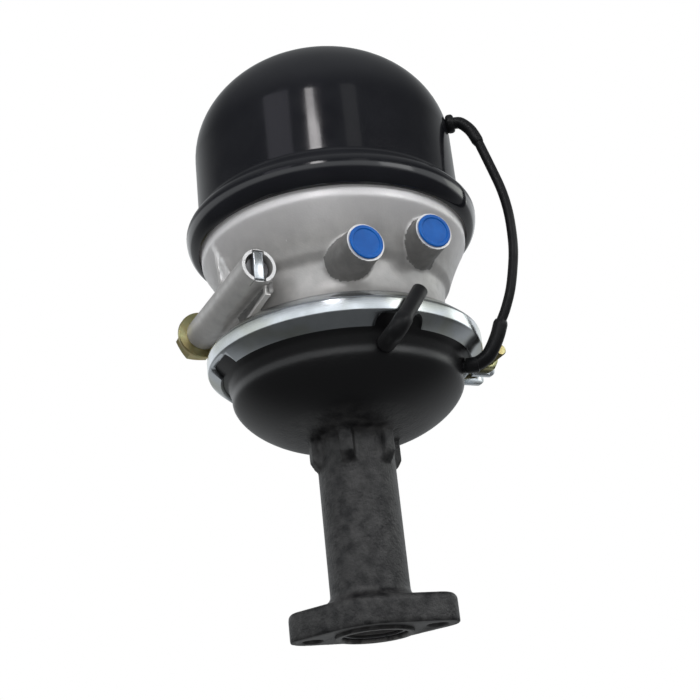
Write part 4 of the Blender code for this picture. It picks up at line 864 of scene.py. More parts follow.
@dataclass
class FlangeCasting:
    """Aluminium housing between the two chambers, with its ports and stud pocket."""

    waist_radius: float = 0.0710
    waist_z: float = 0.203
    bell_radius: float = 0.0902
    bell_z: float = 0.254
    bell_curve: float = 1.6
    bell_steps: int = 12
    step_z: float = 0.2225
    step_depth: float = 0.0080
    fillet_run: float = 0.007
    bead_floor: float = 0.2700
    port_face: float = 0.092
    port_root: float = 0.060
    port_radius: float = 0.0125
    port_root_radius: float = 0.0155
    bore_radius: float = 0.0082
    bore_depth: float = 0.014
    ports: tuple[tuple[str, float, float], ...] = (("service", -0.0243, 0.218),
                                                   ("spring", 0.0248, 0.232))
    pocket_lateral: float = -0.079
    pocket_z: float = 0.215
    pocket_radius: float = 0.0112
    pocket_half: float = 0.0535
    pocket_depth: float = 0.0083
    mouth: tuple[float, float] = (0.0039, 0.0105)
    stud_radius: float = 0.0078
    upper_cut: Profile = ((0.0, 0.2905), (0.082, 0.2905), (0.082, 0.246, 0.008), (0.0, 0.246))
    lower_cut: Profile = ((0.0, 0.222), (0.026, 0.222), (0.031, 0.227, 0.002),
                          (0.064, 0.227, 0.008), (0.064, 0.203), (0.0755, 0.1810),
                          (0.0755, 0.178), (0.0, 0.178))
    bush_cut: Profile = ((0.0, 0.2463), (0.0173, 0.2463), (0.0173, 0.225), (0.0143, 0.225),
                         (0.0143, 0.217), (0.0, 0.217))
    gusset: Profile = ((0.066, 0.2200), (0.0855, 0.2200), (0.0866, 0.2245), (0.0893, 0.2530),
                       (0.0800, 0.2570))
    gusset_along: float = 0.0065
    gusset_width: float = 0.0045
    gusset_highlight_face: Profile = ((0.004, 0.008), (-1.0, 0.002), (0.006, 0.041))
    web_rear: float = -0.032
    web_lift: float = 0.0012
    web_width: float = 0.0035
    web_inwards: float = 0.0095
    edge_width: float = 0.0034
    edge_inwards: float = 0.0075
    # Boxes in the pocket's frame of the web's faces that get painted shade.
    shaded_web_face: Profile = ((0.0, 0.0515), (0.0, 0.012), (-0.0175, -0.0075))
    shaded_web_end: Profile = ((0.045, 0.053), (0.0, 0.012), (-0.0175, -0.0075))
    cap_radii: Triple = (0.0086, 0.0090, 0.0112)
    cap_dish: float = 0.0007
    cap_rim: float = 0.0014
    flank_slope: float = 0.72
    voxel: float = 0.0012
    passes: int = 4
    spare: float = 0.02

    def __post_init__(self) -> None:
        """Set up the frames of the pocket and of the two ports, and the foot of the web."""
        self.pocket = placed(PORT_AZIMUTH, self.pocket_lateral, self.pocket_z)
        self.port_places = [placed(PORT_AZIMUTH, *place) for _, *place in self.ports]
        self.web_foot = JOINT.middle + JOINT.top + self.web_lift

    def blank(self) -> BMesh:
        """Turned body of the casting, still solid inside."""
        dome = Dome()
        lip = inset_path(dome.rim(), dome.shell + GAP)[dome.rim_steps + 1:]
        corners = [(0.0, self.bead_floor), (lip[3].x, self.bead_floor), *lip[4:],
                   (self.bell_radius, lip[-1].y)]
        for step in range(self.bell_steps + 1):
            share = 1 - step / self.bell_steps
            height = self.waist_z + (self.bell_z - self.waist_z) * share
            step_in = self.step_depth if height < self.step_z else 0.0
            out = (self.bell_radius - self.waist_radius) * share ** self.bell_curve
            corners.append((self.waist_radius + out - step_in * share, height))
        run = self.fillet_run
        low = JOINT.middle + JOINT.slope(self.waist_radius + run)
        corners += arc((self.waist_radius + run, self.waist_z), (run, self.waist_z - low), pi,
                       1.5 * pi, 6)[1:]
        seat, bottom = JOINT.seat(), JOINT.plane + JOINT.bead / 2 + GAP
        corners += [(*seat, 0.0006), (seat.x, bottom), (0.0, bottom)]
        return turn(corners, FINE_STEPS)

    def port_boss(self, place: Matrix) -> BMesh:
        """Boss of one port with its flared root."""
        reach = self.port_face + 0.004
        corners = [(0.0, reach), (self.port_radius, reach),
                   (self.port_radius + 0.0002, self.port_face - 0.006),
                   (self.port_root_radius - 0.0010, self.port_root), (0.0, self.port_root)]
        return moved(turn(corners), place @ Z_TO_X)

    def rib(self, outline: Profile, thickness: float, inwards: float) -> BMesh:
        """Rib in the plane of the stud pocket, from (along, height) points."""
        inner_side = placed(PORT_AZIMUTH, self.pocket_lateral + inwards)
        return moved(plate(outline, thickness), inner_side @ Y_TO_Z)

    def ribs(self) -> list[BMesh]:
        """Gusset over the stud pocket and the web under it."""
        facing = Matrix(((0, 0, -1, self.gusset_along), (-1, 0, 0, 0), (0, 1, 0, 0),
                         (0, 0, 0, 1)))
        upright = moved(plate(self.gusset, self.gusset_width), placed(PORT_AZIMUTH) @ facing)
        front, low = self.pocket_half - 0.002, self.web_foot
        web = [(front, self.pocket_z), (self.web_rear, self.pocket_z), (self.web_rear, low),
               (0.0, low), (front / 2, low + 0.003), (front, low + 0.0055)]
        return [upright, self.rib(web, self.web_width, self.web_inwards)]

    def web_edge(self) -> BMesh:
        """Raised edge along the foot of the web under the stud pocket."""
        front, low, high = self.pocket_half - 0.0036, self.web_foot, self.pocket_z - 0.006
        strip = [(front, high), (front, low + 0.0045), (front / 2, low + 0.0022), (0.004, low),
                 (0.004, low + 0.0018), (front / 2, low + 0.0042),
                 (front - 0.003, low + 0.0070), (front - 0.003, high)]
        return self.rib(strip, self.edge_width, self.edge_inwards)

    def tools(self) -> Iterable[BMesh]:
        """Cuts of the two chambers, the centre bore, the ports and the stud pocket."""
        for profile, steps in ((self.upper_cut, ROUND_STEPS), (self.lower_cut, ROUND_STEPS),
                               (self.bush_cut, SMALL_STEPS)):
            yield turn(profile, steps)
        face, half, spare = self.port_face, self.pocket_half, self.spare
        for place in self.port_places:
            yield moved(slab((face, -spare, -spare), (face + spare, spare, spare)), place)
            yield moved(rod(face - self.bore_depth, face + 0.01, self.bore_radius), place)
        floor, (across, tall) = half - self.pocket_depth, self.mouth
        for cut in (slab((-half - spare, -spare, -spare), (-half, spare, spare)),
                    slab((half, -spare, -spare), (half + spare, spare, spare)),
                    rod(-2 * half, floor, self.stud_radius + GAP),
                    rod(floor - 0.001, half + 0.01, self.pocket_radius - 0.0021),
                    slab((floor, -across, -tall), (half + 0.01, across, tall))):
            yield moved(cut, self.pocket)

    def build(self) -> None:
        """Build the casting and the plugs of its ports."""
        half = self.pocket_half
        barrel = rod(-half - 0.002, half + 0.002, self.pocket_radius, steps=ROUND_STEPS)
        blanks = [self.blank(), moved(barrel, self.pocket), *self.ribs(),
                  *(self.port_boss(place) for place in self.port_places)]
        casting = fuse("flange_casting", blanks, self.voxel, self.passes)
        combine(casting, self.web_edge(), Cut.JOIN)
        for cut in self.tools():
            combine(casting, cut)
        finish_piece(casting, CAST_ALUMINIUM, "flange_housing", sharp=48.0)
        outward = Vector((cos(PORT_AZIMUTH), sin(PORT_AZIMUTH), 0.0))
        faces = (self.port_face, half, -half)
        paint_faces(casting, MACHINED_AND_HIGHLIT_FACE, lambda centre, normal: abs(normal.dot(outward)) > 0.98
                    and any(abs(centre.dot(outward) - face) < 0.0002 for face in faces))
        for finish, box, way, least in (
                # Painted highlight on the gusset's face, in the machined finish's lighter colour.
                (MACHINED_AND_HIGHLIT_FACE, self.gusset_highlight_face, (1.0, 0.0, 0.0), 0.85),
                # Painted shade on the web's face and front end under the stud pocket.
                (SHADED_ALUMINIUM, self.shaded_web_face, (0.0, -1.0, 0.0), 0.4),
                (SHADED_ALUMINIUM, self.shaded_web_end, (1.0, 0.0, 0.0), 0.8)):
            paint_faces(casting, finish, in_box(self.pocket, box, way, least))
        for place, (label, _, _) in zip(self.port_places, self.ports):
            # Painted shade on the flanks of the port's boss.
            paint_faces(casting, SHADED_ALUMINIUM, self.flank(place))
            self.plug(label, place)

    def flank(self, place: Matrix) -> FaceTest:
        """Return the test for the faces on the side of a port's boss, which get painted shade."""
        inverse = place.inverted()
        turned = inverse.to_3x3()

        def test(centre: Vector, normal: Vector) -> bool:
            """Tell whether a face lies on the boss and looks away from its axis."""
            local = inverse @ centre
            away = Vector((0.0, local.y, local.z))
            return (self.port_root + 0.002 < local.x < self.port_face - 2 * GAP
                    and self.bore_radius + 0.001 < away.length < self.port_root_radius + GAP
                    and (turned @ normal).dot(away.normalized()) > self.flank_slope)

        return test

    def plug(self, label: str, place: Matrix) -> None:
        """Build the blue plug of one port, with its raised rim."""
        face, stem = self.port_face + GAP, self.bore_radius - GAP
        dish, rim = face + self.cap_dish, face + self.cap_rim
        end, (well, lip, out) = self.port_face - self.bore_depth * 0.7, self.cap_radii
        corners = [(0.0, dish), (well, dish, 0.0003), (lip, rim, 0.0003), (out, rim, 0.0006),
                   (out, face), (stem, face), (stem, end, 0.001), (0.0, end)]
        cap = as_object(f"{label}_port_cap", moved(turn(corners), place @ Z_TO_X))
        finish_piece(cap, BLUE_PLUG, f"port_plug_{label}")


@dataclass
class BowlCasting:
    """Black cast bowl with its long neck and mounting flange, and what is in the neck."""

    radius: float = 0.0762
    wall: float = 0.0047
    shoulder: float = 0.155
    roundness: float = 1.25
    root_radius: float = 0.027
    floor: float = 0.0065
    spring_seat: float = 0.034
    neck_radius: float = 0.025
    neck_length: float = 0.124
    collar: float = 0.0028
    flange: float = 0.018
    edge: float = 0.0145
    spacing: float = 0.078
    hole: float = 0.0065
    hole_steps: Triple = (0.0, 0.002, 0.001)
    lobe: float = 0.014
    hub: float = 0.033
    rib_count: int = 6
    rib_width: float = 0.009
    rib_out: float = 0.005
    elbow_hole: float = 0.0044
    spigot: float = 0.0246
    spigot_height: float = 0.002
    bore: float = 0.0205
    sleeve: float = 0.0170
    sleeve_top: float = 0.112
    ring_top: float = 0.0020
    ring: float = 0.0015
    ring_seat: float = 0.0218
    ring_inner: float = 0.0183
    voxel: float = 0.0011
    passes: int = 4
    ring_opening: float = radians(-77.0)
    ring_gap: float = 0.14
    eye_spread: float = radians(13.0)
    eye_centre: float = 0.0172
    eye_radius: float = 0.0034
    eye_hole: float = 0.0012

    def curve(self, outer: float, inner: float, low: float, steps: int) -> Profile:
        """Quarter of the bowl's section from its shoulder down to the neck."""
        corners = []
        for step in range(steps + 1):
            angle = pi / 2 * step / steps
            across = max(cos(angle), 0.0) ** self.roundness
            down = sin(angle) ** self.roundness
            corners.append((inner + (outer - inner) * across,
                            self.shoulder - (self.shoulder - low) * down))
        return corners

    def blank(self) -> BMesh:
        """Turned outside of the bowl and the neck."""
        seat = JOINT.seat()
        top, out = JOINT.plane - JOINT.bead / 2 - GAP, self.radius + self.collar
        start = JOINT.middle - JOINT.slope(out)
        neck, foot = self.neck_radius, self.neck_radius + 0.005
        return turn([(0.0, top), (seat.x, top), (seat.x, 2 * JOINT.middle - seat.y, 0.0006),
                     (out, start, 0.002), (self.radius, start - 0.009, 0.004),
                     *self.curve(self.radius, self.root_radius, self.neck_length, 18),
                     (neck, self.neck_length - 0.003, 0.002), (neck, self.flange + 0.004, 0.004),
                     (foot, self.flange, 0.001), (foot, self.flange / 2),
                     (0.0, self.flange / 2)], FINE_STEPS)

    def flange_blank(self) -> BMesh:
        """Mounting flange, two lobes joined to the hub by tangents, with a rounded top edge."""
        centre = self.spacing / 2
        swing = acos((self.hub - self.lobe) / centre)
        outline: list[Vector] = []
        for middle, radius, start, end, steps in (
                (centre, self.lobe, -swing, swing, 16),
                (0.0, self.hub, swing, pi - swing, 12),
                (-centre, self.lobe, pi - swing, pi + swing, 16),
                (0.0, self.hub, pi + swing, tau - swing, 12)):
            outline += arc((middle, 0.0), (radius, radius), start, end, steps)
        bm = plate(outline, self.flange)
        rim = [edge for edge in bm.edges
               if all(abs(vert.co.z - self.flange) < WELD for vert in edge.verts)]
        bevel(bm, rim, self.flange - self.edge, 4)
        return bm

    def ribs(self) -> Iterable[BMesh]:
        """Short ribs under the bowl, round the top of the neck."""
        low, high = self.neck_length - 0.020, self.neck_length + 0.003
        foot, out = self.neck_radius - 0.003, self.neck_radius + self.rib_out
        outline = [(foot, low), (out - 0.003, low), (out, low + 0.005), (out, high), (foot, high)]
        for index in range(self.rib_count):
            place = placed(tau * (index + 0.5) / self.rib_count, self.rib_width / 2)
            yield moved(plate(outline, self.rib_width), place @ Y_TO_Z)

    def cavity(self) -> BMesh:
        """Inside of the bowl and the stepped bore of the neck."""
        wide, neck, flare = self.radius - self.wall, self.sleeve + GAP, self.bore + 0.0010
        top, floor = JOINT.plane + 0.001, self.neck_length + self.floor
        groove, lip = self.ring_top + GAP, self.ring_top - self.ring - GAP
        return turn([(0.0, top), (wide, top), *self.curve(wide, self.spring_seat, floor, 10),
                     (neck, floor), (neck, self.sleeve_top), (self.bore, self.sleeve_top),
                     (self.bore, groove), (self.ring_seat, groove), (self.ring_seat, lip),
                     (self.bore, lip), (self.bore, -0.0012),
                     (flare, -self.spigot_height - 0.0002), (flare, -0.006), (0.0, -0.006)],
                    FINE_STEPS)

    def build(self) -> None:
        """Build the casting, its guide sleeve and the retaining ring."""
        blanks = [self.blank(), self.flange_blank(), *self.ribs()]
        bowl = fuse("bowl_casting", blanks, self.voxel, self.passes)
        combine(bowl, slab((-0.08, -0.06, -0.02), (0.08, 0.06, 0.0)))
        spigot = turn([(0.0, 0.004), (self.spigot, 0.004),
                       (self.spigot, -self.spigot_height, 0.0006), (0.0, -self.spigot_height)],
                      FINE_STEPS)
        combine(bowl, spigot, Cut.JOIN)
        combine(bowl, self.cavity())
        hole, sunk, chamfer = (self.hole + out for out in self.hole_steps)
        for side in (-1, 1):
            cut = turn([(0.0, 0.03), (sunk, 0.03), (sunk, self.flange + 0.0002),
                        (hole, self.flange - 0.0014), (hole, 0.0008), (chamfer, -0.0002),
                        (chamfer, -0.01), (0.0, -0.01)])
            combine(bowl, moved(cut, Matrix.Translation((side * self.spacing / 2, 0.0, 0.0))))
        for azimuth, height in ((0.0, BreatherLine.bowl_z), (VentElbow.azimuth, VentElbow.height)):
            combine(bowl, moved(rod(0.04, 0.15, self.elbow_hole), placed(azimuth, 0.0, height)))
        finish_piece(bowl, CAST_BLACK, "bowl_housing", sharp=50.0)
        wall, low, high = self.bore - GAP, self.ring_top + GAP, self.sleeve_top - GAP
        guide = turn([(wall, high), (wall, low), (self.sleeve, low, 0.0005),
                      (self.sleeve, high)], closed=True)
        finish_piece(as_object("guide_tube", guide), GUIDE_BLACK, "guide_sleeve")
        self.retaining_ring()

    def retaining_ring(self) -> None:
        """Build the sprung ring with its two eyes at the mouth of the neck."""
        top, bottom, out = self.ring_top, self.ring_top - self.ring, self.ring_seat - GAP
        ring = turn([(out, top, 0.0002), (out, bottom, 0.0002), (self.ring_inner, bottom, 0.0002),
                     (self.ring_inner, top, 0.0002)], closed=True,
                    start=self.ring_opening + self.ring_gap, sweep=tau - 2 * self.ring_gap)
        item = as_object("eyed_ring", ring)
        for side in (-1, 1):
            place = placed(self.ring_opening + side * self.eye_spread, along=self.eye_centre)
            upright = place @ X_TO_Z
            eye = rod(bottom + 0.0001, top - 0.0001, self.eye_radius, steps=28)
            hole = rod(bottom - 0.001, top + 0.001, self.eye_hole, steps=16)
            combine(item, moved(eye, upright), Cut.JOIN)
            combine(item, moved(hole, upright))
        finish_piece(item, LATHE_STEEL, "retaining_ring")


@dataclass
class VentElbow:
    """Rubber vent elbow on the front of the bowl, open at its slanting end."""

    azimuth: float = radians(-60.7)
    height: float = 0.159
    reach: float = 0.0980
    tip_azimuth: float = radians(-49.5)
    tip_height: float = 0.187
    roots: Triple = (0.0718, 0.0776, 0.0780)
    bend_run: float = 0.0060
    bend_steps: int = 7
    stem: float = 0.0041
    body: float = 0.0058
    lip: float = 0.0050
    bore: float = 0.0033

    def build(self) -> None:
        """Build the elbow as one swept tube with a bore."""
        along = Vector((cos(self.azimuth), sin(self.azimuth), 0.0))
        up = Vector((0.0, 0.0, self.height))
        bend = along * self.reach + up
        tip = Vector((self.reach * cos(self.tip_azimuth), self.reach * sin(self.tip_azimuth),
                      self.tip_height))
        ahead = (tip - bend).normalized()
        knots = [along * out + up for out in self.roots]
        first, last = bend - along * self.bend_run, bend + ahead * self.bend_run
        for step in range(self.bend_steps + 1):
            share = step / self.bend_steps
            knots.append(first * (1 - share) ** 2 + bend * 2 * share * (1 - share)
                         + last * share ** 2)
        knots += [bend + ahead * 0.0100, bend + ahead * 0.0112, tip - ahead * 0.0008, tip]
        radii = ([self.stem] * 2 + [self.body] * (self.bend_steps + 2)
                 + [self.body - 0.0001, self.lip, self.lip, self.lip - GAP])
        stub = as_object("vent_stub", tube_along(knots, radii, 28))
        bore = [bend + ahead * 0.0090, tip + ahead * 0.0100]
        combine(stub, tube_along(bore, [self.bore] * 2))
        finish_piece(stub, BLACK_RUBBER, "vent_elbow", sharp=50.0)


@dataclass(frozen=True)
class HoseElbow:
    """A rubber elbow of the hose: its middle line as (radius, height), thickness and collar."""

    name: str
    node: str
    knots: Profile
    steps: int
    thick_from: float
    thick: float
    lip: float
    collar: Triple
    chamfer: float
    segments: int


@dataclass
class BreatherLine:
    """Breather hose between the dome and the bowl, with the rubber elbow at each end."""

    dome_z: float = 0.342
    bowl_z: float = 0.1615
    hose_radius: float = 0.00325
    elbow_radius: float = 0.0041
    foot_radius: float = 0.0048
    route: Profile = ((0.1097, 0.3225), (0.1157, 0.2997), (0.1196, 0.2832), (0.1216, 0.2673),
                      (0.1218, 0.2520), (0.1208, 0.2372), (0.1182, 0.2231), (0.1146, 0.2092),
                      (0.1096, 0.1965), (0.10555, 0.1887))

    @staticmethod
    def smooth(pairs: Profile, steps: int) -> list[Vector]:
        """Smooth route in the plane of the axis and X through (radius, height) points."""
        return smooth_route([Vector((radius, 0.0, height)) for radius, height in pairs], steps)

    def elbow(self, kind: HoseElbow) -> None:
        """Build one elbow with its collar."""
        route = self.smooth(kind.knots, kind.steps)
        radii = [self.elbow_radius if point.x < kind.thick_from else kind.thick
                 for point in route]
        radii[-1] = kind.thick - kind.lip
        item = as_object(kind.name, tube_along(route, radii))
        collar = rod(*kind.collar, chamfer=kind.chamfer, segments=kind.segments)
        up = Matrix.Translation((0.0, 0.0, kind.knots[0][1]))
        combine(item, moved(collar, up), Cut.JOIN)
        finish_piece(item, BLACK_RUBBER, kind.node)

    def build(self) -> None:
        """Build the two elbows and the hose."""
        wall = Dome.radius * sqrt(1 - ((self.dome_z - Dome.shoulder) / Dome.rise) ** 2)
        upper = ((wall - 0.009, self.dome_z), (wall, self.dome_z), (wall + 0.006, self.dome_z),
                 (0.1000, 0.3405), (0.1055, 0.3335), (0.1096, 0.3228))
        lower = ((0.0718, self.bowl_z), (0.0762, self.bowl_z), (0.0842, self.bowl_z),
                 (0.0936, 0.1662), (0.1008, 0.1772), (0.1054, 0.1884))
        self.elbow(HoseElbow("dome_hose_elbow", "elbow_dome", upper, 5, 0.0, self.elbow_radius,
                             0.0005, (0.0892, 0.0950, 0.0066), 0.0022, 4))
        hose = self.smooth(self.route, 8)
        tube = as_object("breather_tube", tube_along(hose, [self.hose_radius] * len(hose)))
        finish_piece(tube, BLACK_RUBBER, "breather_hose")
        self.elbow(HoseElbow("bowl_hose_elbow", "elbow_bowl", lower, 6, 0.0795, self.foot_radius,
                             0.0006, (0.0789, 0.0869, 0.0052), 0.0006, 2))


@dataclass
class Fastener:
    """Threads, nuts and heads along X, shared by the clamp's bolt and the release stud."""

    radius: float
    pitch: float
    depth: float = 0.55
    steps: int = 20

    def thread(self, name: str, start: float, end: float, chamfer: float) -> Object:
        """Build a threaded bar along X.

        Args:
            name: The bar's name.
            start: Where it starts.
            end: Where it ends.
            chamfer: Width of the chamfers at its ends.

        Returns:
            The bar, as an object still to be placed.
        """
        turns = ceil((end - start) / self.pitch) + 3
        root = self.radius - self.depth * self.pitch
        bm = bmesh.new()
        verts = [bm.verts.new((along, radius, 0.0)) for along, radius
                 in ((0.0, root), (self.pitch / 2, self.radius), (self.pitch, root))]
        edges = [bm.edges.new(pair) for pair in zip(verts, verts[1:])]
        bmesh.ops.spin(bm, geom=verts + edges, cent=(0, 0, 0), axis=(1, 0, 0), angle=tau * turns,
                       steps=self.steps * turns, dvec=(self.pitch / self.steps, 0, 0),
                       use_merge=False, use_duplicate=False)
        bmesh.ops.remove_doubles(bm, verts=bm.verts, dist=self.pitch * 0.05)
        rims = [edge for edge in bm.edges if edge.is_boundary]
        caps = bmesh.ops.holes_fill(bm, edges=rims, sides=0)["faces"]
        bmesh.ops.triangulate(bm, faces=caps)
        bmesh.ops.recalc_face_normals(bm, faces=bm.faces)
        item = as_object(name, moved(bm, Matrix.Translation((start - 1.5 * self.pitch, 0, 0))))
        trim = rod(start, end, self.radius + 0.0002, steps=40, chamfer=chamfer, segments=1)
        combine(item, trim, Cut.KEEP_COMMON)
        return item

    def nut(self, name: str, start: float, end: float, width: float) -> Object:
        """Build a hexagon nut along X with chamfered corners and a bore."""
        tip = width / sqrt(3)
        item = as_object(name, rod(start, end, tip, steps=6))
        flat, wide, crown = width * 0.49, tip + 0.0002, 0.13 * width * 0.45
        body = turn([(0.0, end), (flat, end), (wide, end - crown), (wide, start + crown),
                     (flat, start), (0.0, start)])
        combine(item, moved(body, Z_TO_X), Cut.KEEP_COMMON)
        combine(item, rod(start - 0.001, end + 0.001, self.radius + GAP, steps=24))
        return item


@dataclass
class Clamp:
    """Clamp ring of V section with its notches, ears, screw and nut."""

    azimuth: float = radians(34.5)
    bolt_reach: float = 0.0995
    split: float = 0.013
    ear: float = 0.003
    ear_reach: float = 0.1070
    ear_height: float = 0.018
    ear_corner: float = 0.004
    notches: int = 3
    notch: float = 0.031
    notch_depth: float = 0.0066
    notch_corner: float = 0.0050
    edge: float = 0.0003
    screw: Fastener = field(default_factory=lambda: Fastener(0.0039, 0.00125))
    bolt_hole: float = 0.0042
    bolt_front: float = 0.034
    bolt_head: float = 0.0055
    nut_width: float = 0.013
    nut_height: float = 0.0068

    def __post_init__(self) -> None:
        """Set up the frame of the screw, with X along it towards its threaded end."""
        self.bolt_place = placed(self.azimuth - pi / 2, self.bolt_reach, JOINT.middle)

    def tab(self, side: int) -> BMesh:
        """Ear on one side of the split, with rounded outer corners."""
        near, far = sorted((side * self.split / 2, side * (self.split / 2 + self.ear)))
        low, high = JOINT.middle - self.ear_height / 2, JOINT.middle + self.ear_height / 2
        tab = slab((JOINT.radius - JOINT.thickness / 2, near, low), (self.ear_reach, far, high))
        outer = [edge for edge in tab.edges
                 if all(vert.co.x > self.ear_reach - WELD for vert in edge.verts)
                 and abs(edge.verts[0].co.y - edge.verts[1].co.y) > WELD]
        bevel(tab, outer, self.ear_corner, 5)
        return moved(tab, placed(self.azimuth))

    def ring(self) -> Object:
        """Build the band with its notches and ears."""
        loop = JOINT.section() + JOINT.section(JOINT.thickness)[::-1]
        opening = asin(self.split / 2 / JOINT.radius)
        band = as_object("clamp_ring", turn(loop, FINE_STEPS, closed=True,
                                            start=self.azimuth + opening,
                                            sweep=tau - 2 * opening))
        low, half = JOINT.middle - JOINT.top, self.notch / 2
        for index in range(self.notches):
            cut = slab((0.07, -half, low - 0.02), (0.12, half, low + self.notch_depth),
                       self.notch_corner, 6)
            azimuth = self.azimuth + (index + 1) * tau / (self.notches + 1)
            combine(band, moved(cut, placed(azimuth)))
        for side in (-1, 1):
            combine(band, self.tab(side), Cut.JOIN)
        combine(band, moved(rod(-0.03, 0.03, self.bolt_hole, steps=28), self.bolt_place))
        modify(band, "BEVEL", width=self.edge, segments=2, limit_method="ANGLE",
               angle_limit=radians(60))
        return band

    def build(self) -> None:
        """Build the band, the screw and the nut."""
        finish_piece(self.ring(), BRIGHT_ZINC, "clamp_band", sharp=40.0)
        face = self.split / 2 + self.ear + GAP
        screw = self.screw.thread("clamp_screw", -0.004, self.bolt_front, 0.0007)
        combine(screw, rod(-face - 0.001, -0.0035, self.screw.radius, steps=28), Cut.JOIN)
        head = Fastener(0.0, 1.0).nut("head", -face - self.bolt_head, -face, self.nut_width)
        combine(screw, copied(head.data), Cut.JOIN)
        bpy.data.objects.remove(head)
        nut = self.screw.nut("clamp_hex_nut", face, face + self.nut_height, self.nut_width)
        for item, node in ((screw, "clamp_bolt"), (nut, "clamp_nut")):
            item.data.transform(self.bolt_place)
            finish_piece(item, YELLOW_ZINC, node)


@dataclass
class ReleaseStud:
    """Release stud stowed in its pocket, with its washer and nut at the back."""

    pocket: FlangeCasting = field(default_factory=FlangeCasting)
    thread: float = 0.002
    head_length: float = 0.0204
    head_width: float = 0.0072
    head_depth: float = 0.008
    unshaded_length: float = 0.0035
    washer: float = 0.0035
    washer_radius: float = 0.0165
    nut_width: float = 0.024
    nut_height: float = 0.013
    tail: float = 0.005

    def build(self) -> None:
        """Build the stud, the washer and the nut."""
        place, front, radius = self.pocket.pocket, self.pocket.pocket_half, self.pocket.stud_radius
        back = -front - GAP
        stack = back - self.washer - GAP - self.nut_height
        kit = Fastener(radius, self.thread)
        stud = kit.thread("stowed_stud", stack - self.tail, 0.0, 0.0012)
        combine(stud, rod(-0.001, front - self.head_depth / 2, radius - 0.0006), Cut.JOIN)
        across, tall = self.head_width / 2, self.head_length / 2
        head = slab((front - self.head_depth, -across, -tall), (front, across, tall), 0.0014)
        combine(stud, head, Cut.JOIN)
        disc = as_object("stud_washer", rod(back - self.washer, back, self.washer_radius,
                                            steps=ROUND_STEPS, chamfer=0.0004))
        combine(disc, rod(2 * back, 0.0, radius + GAP, steps=40))
        nut = kit.nut("stud_nut", stack, stack + self.nut_height, self.nut_width)
        for item, finish, node in ((stud, BRIGHT_ZINC, "release_stud"),
                                   (disc, YELLOW_ZINC, "release_washer"),
                                   (nut, YELLOW_ZINC, "release_nut")):
            item.data.transform(place)
            finish_piece(item, finish, node)
        # Painted shade: the stud's faces deeper in the pocket than its bright front take the dark
        # spring coating's colour.
        shaded = ((-1.0, front - self.unshaded_length), ANYWHERE, ANYWHERE)
        paint_faces(stud, SPRING_COAT_AND_SHADE, in_box(place, shaded, (0.0, 0.0, 0.0), -1.0))


@dataclass
class InnerPieces:
    """Moving and hidden pieces, which keep their solids and get their finishes."""

    finishes: tuple[tuple[str, Finish], ...] = (
        ("centre_bush", GUIDE_BLACK), ("pressure_plate", LATHE_STEEL),
        ("adapter_rod", LATHE_STEEL), ("adapter_foot", GUIDE_BLACK),
        ("push_plate", LATHE_STEEL), ("push_rod", LATHE_STEEL), ("rod_guide_ring", GUIDE_BLACK))
    soft: tuple[tuple[str, str, Finish, Body, float, float], ...] = (
        ("spring_membrane", "spring_diaphragm", BLACK_RUBBER, Body.SPRING_STAGE, 0.2703, 0.2496),
        ("service_membrane", "service_diaphragm", BLACK_RUBBER, Body.SERVICE_STAGE, 0.1810,
         0.1443),
        ("spring_coil", "power_spring", SPRING_COAT_AND_SHADE, Body.SPRING_STAGE, 0.3875, 0.2558),
        ("return_coil", "return_spring", SPRING_COAT_AND_SHADE, Body.SERVICE_STAGE, 0.1305, 0.1390))

    def build(self) -> None:
        """Build finished copies of the soft pieces that sit between two bodies, and give the kept
        solids a finish.
        """
        for name, node, finish, body, fixed, moving in self.soft:
            source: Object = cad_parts[node]
            bm = moved(copied(source.data), source.matrix_world)
            bmesh.ops.remove_doubles(bm, verts=bm.verts, dist=WELD)
            bmesh.ops.recalc_face_normals(bm, faces=bm.faces)
            item = as_object(name, bm)
            give_looks(item, finish, node, sharp=40.0)
            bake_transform(item)
        for name, finish in self.finishes:
            solid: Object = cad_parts[name]
            solid.data.materials.clear()
            solid.data.materials.append(finish.material())
            log.info("%s keeps its solid, in %s", name, finish.name)


# ---- Studio ----

@dataclass(frozen=True)
class Panel:
    """A soft lamp: where it stands round the chamber, how large and how strong it is."""

    azimuth: float
    elevation: float
    distance: float
    width: float
    height: float
    power: float
    colour: Colour = WHITE
    mirrored: bool = False


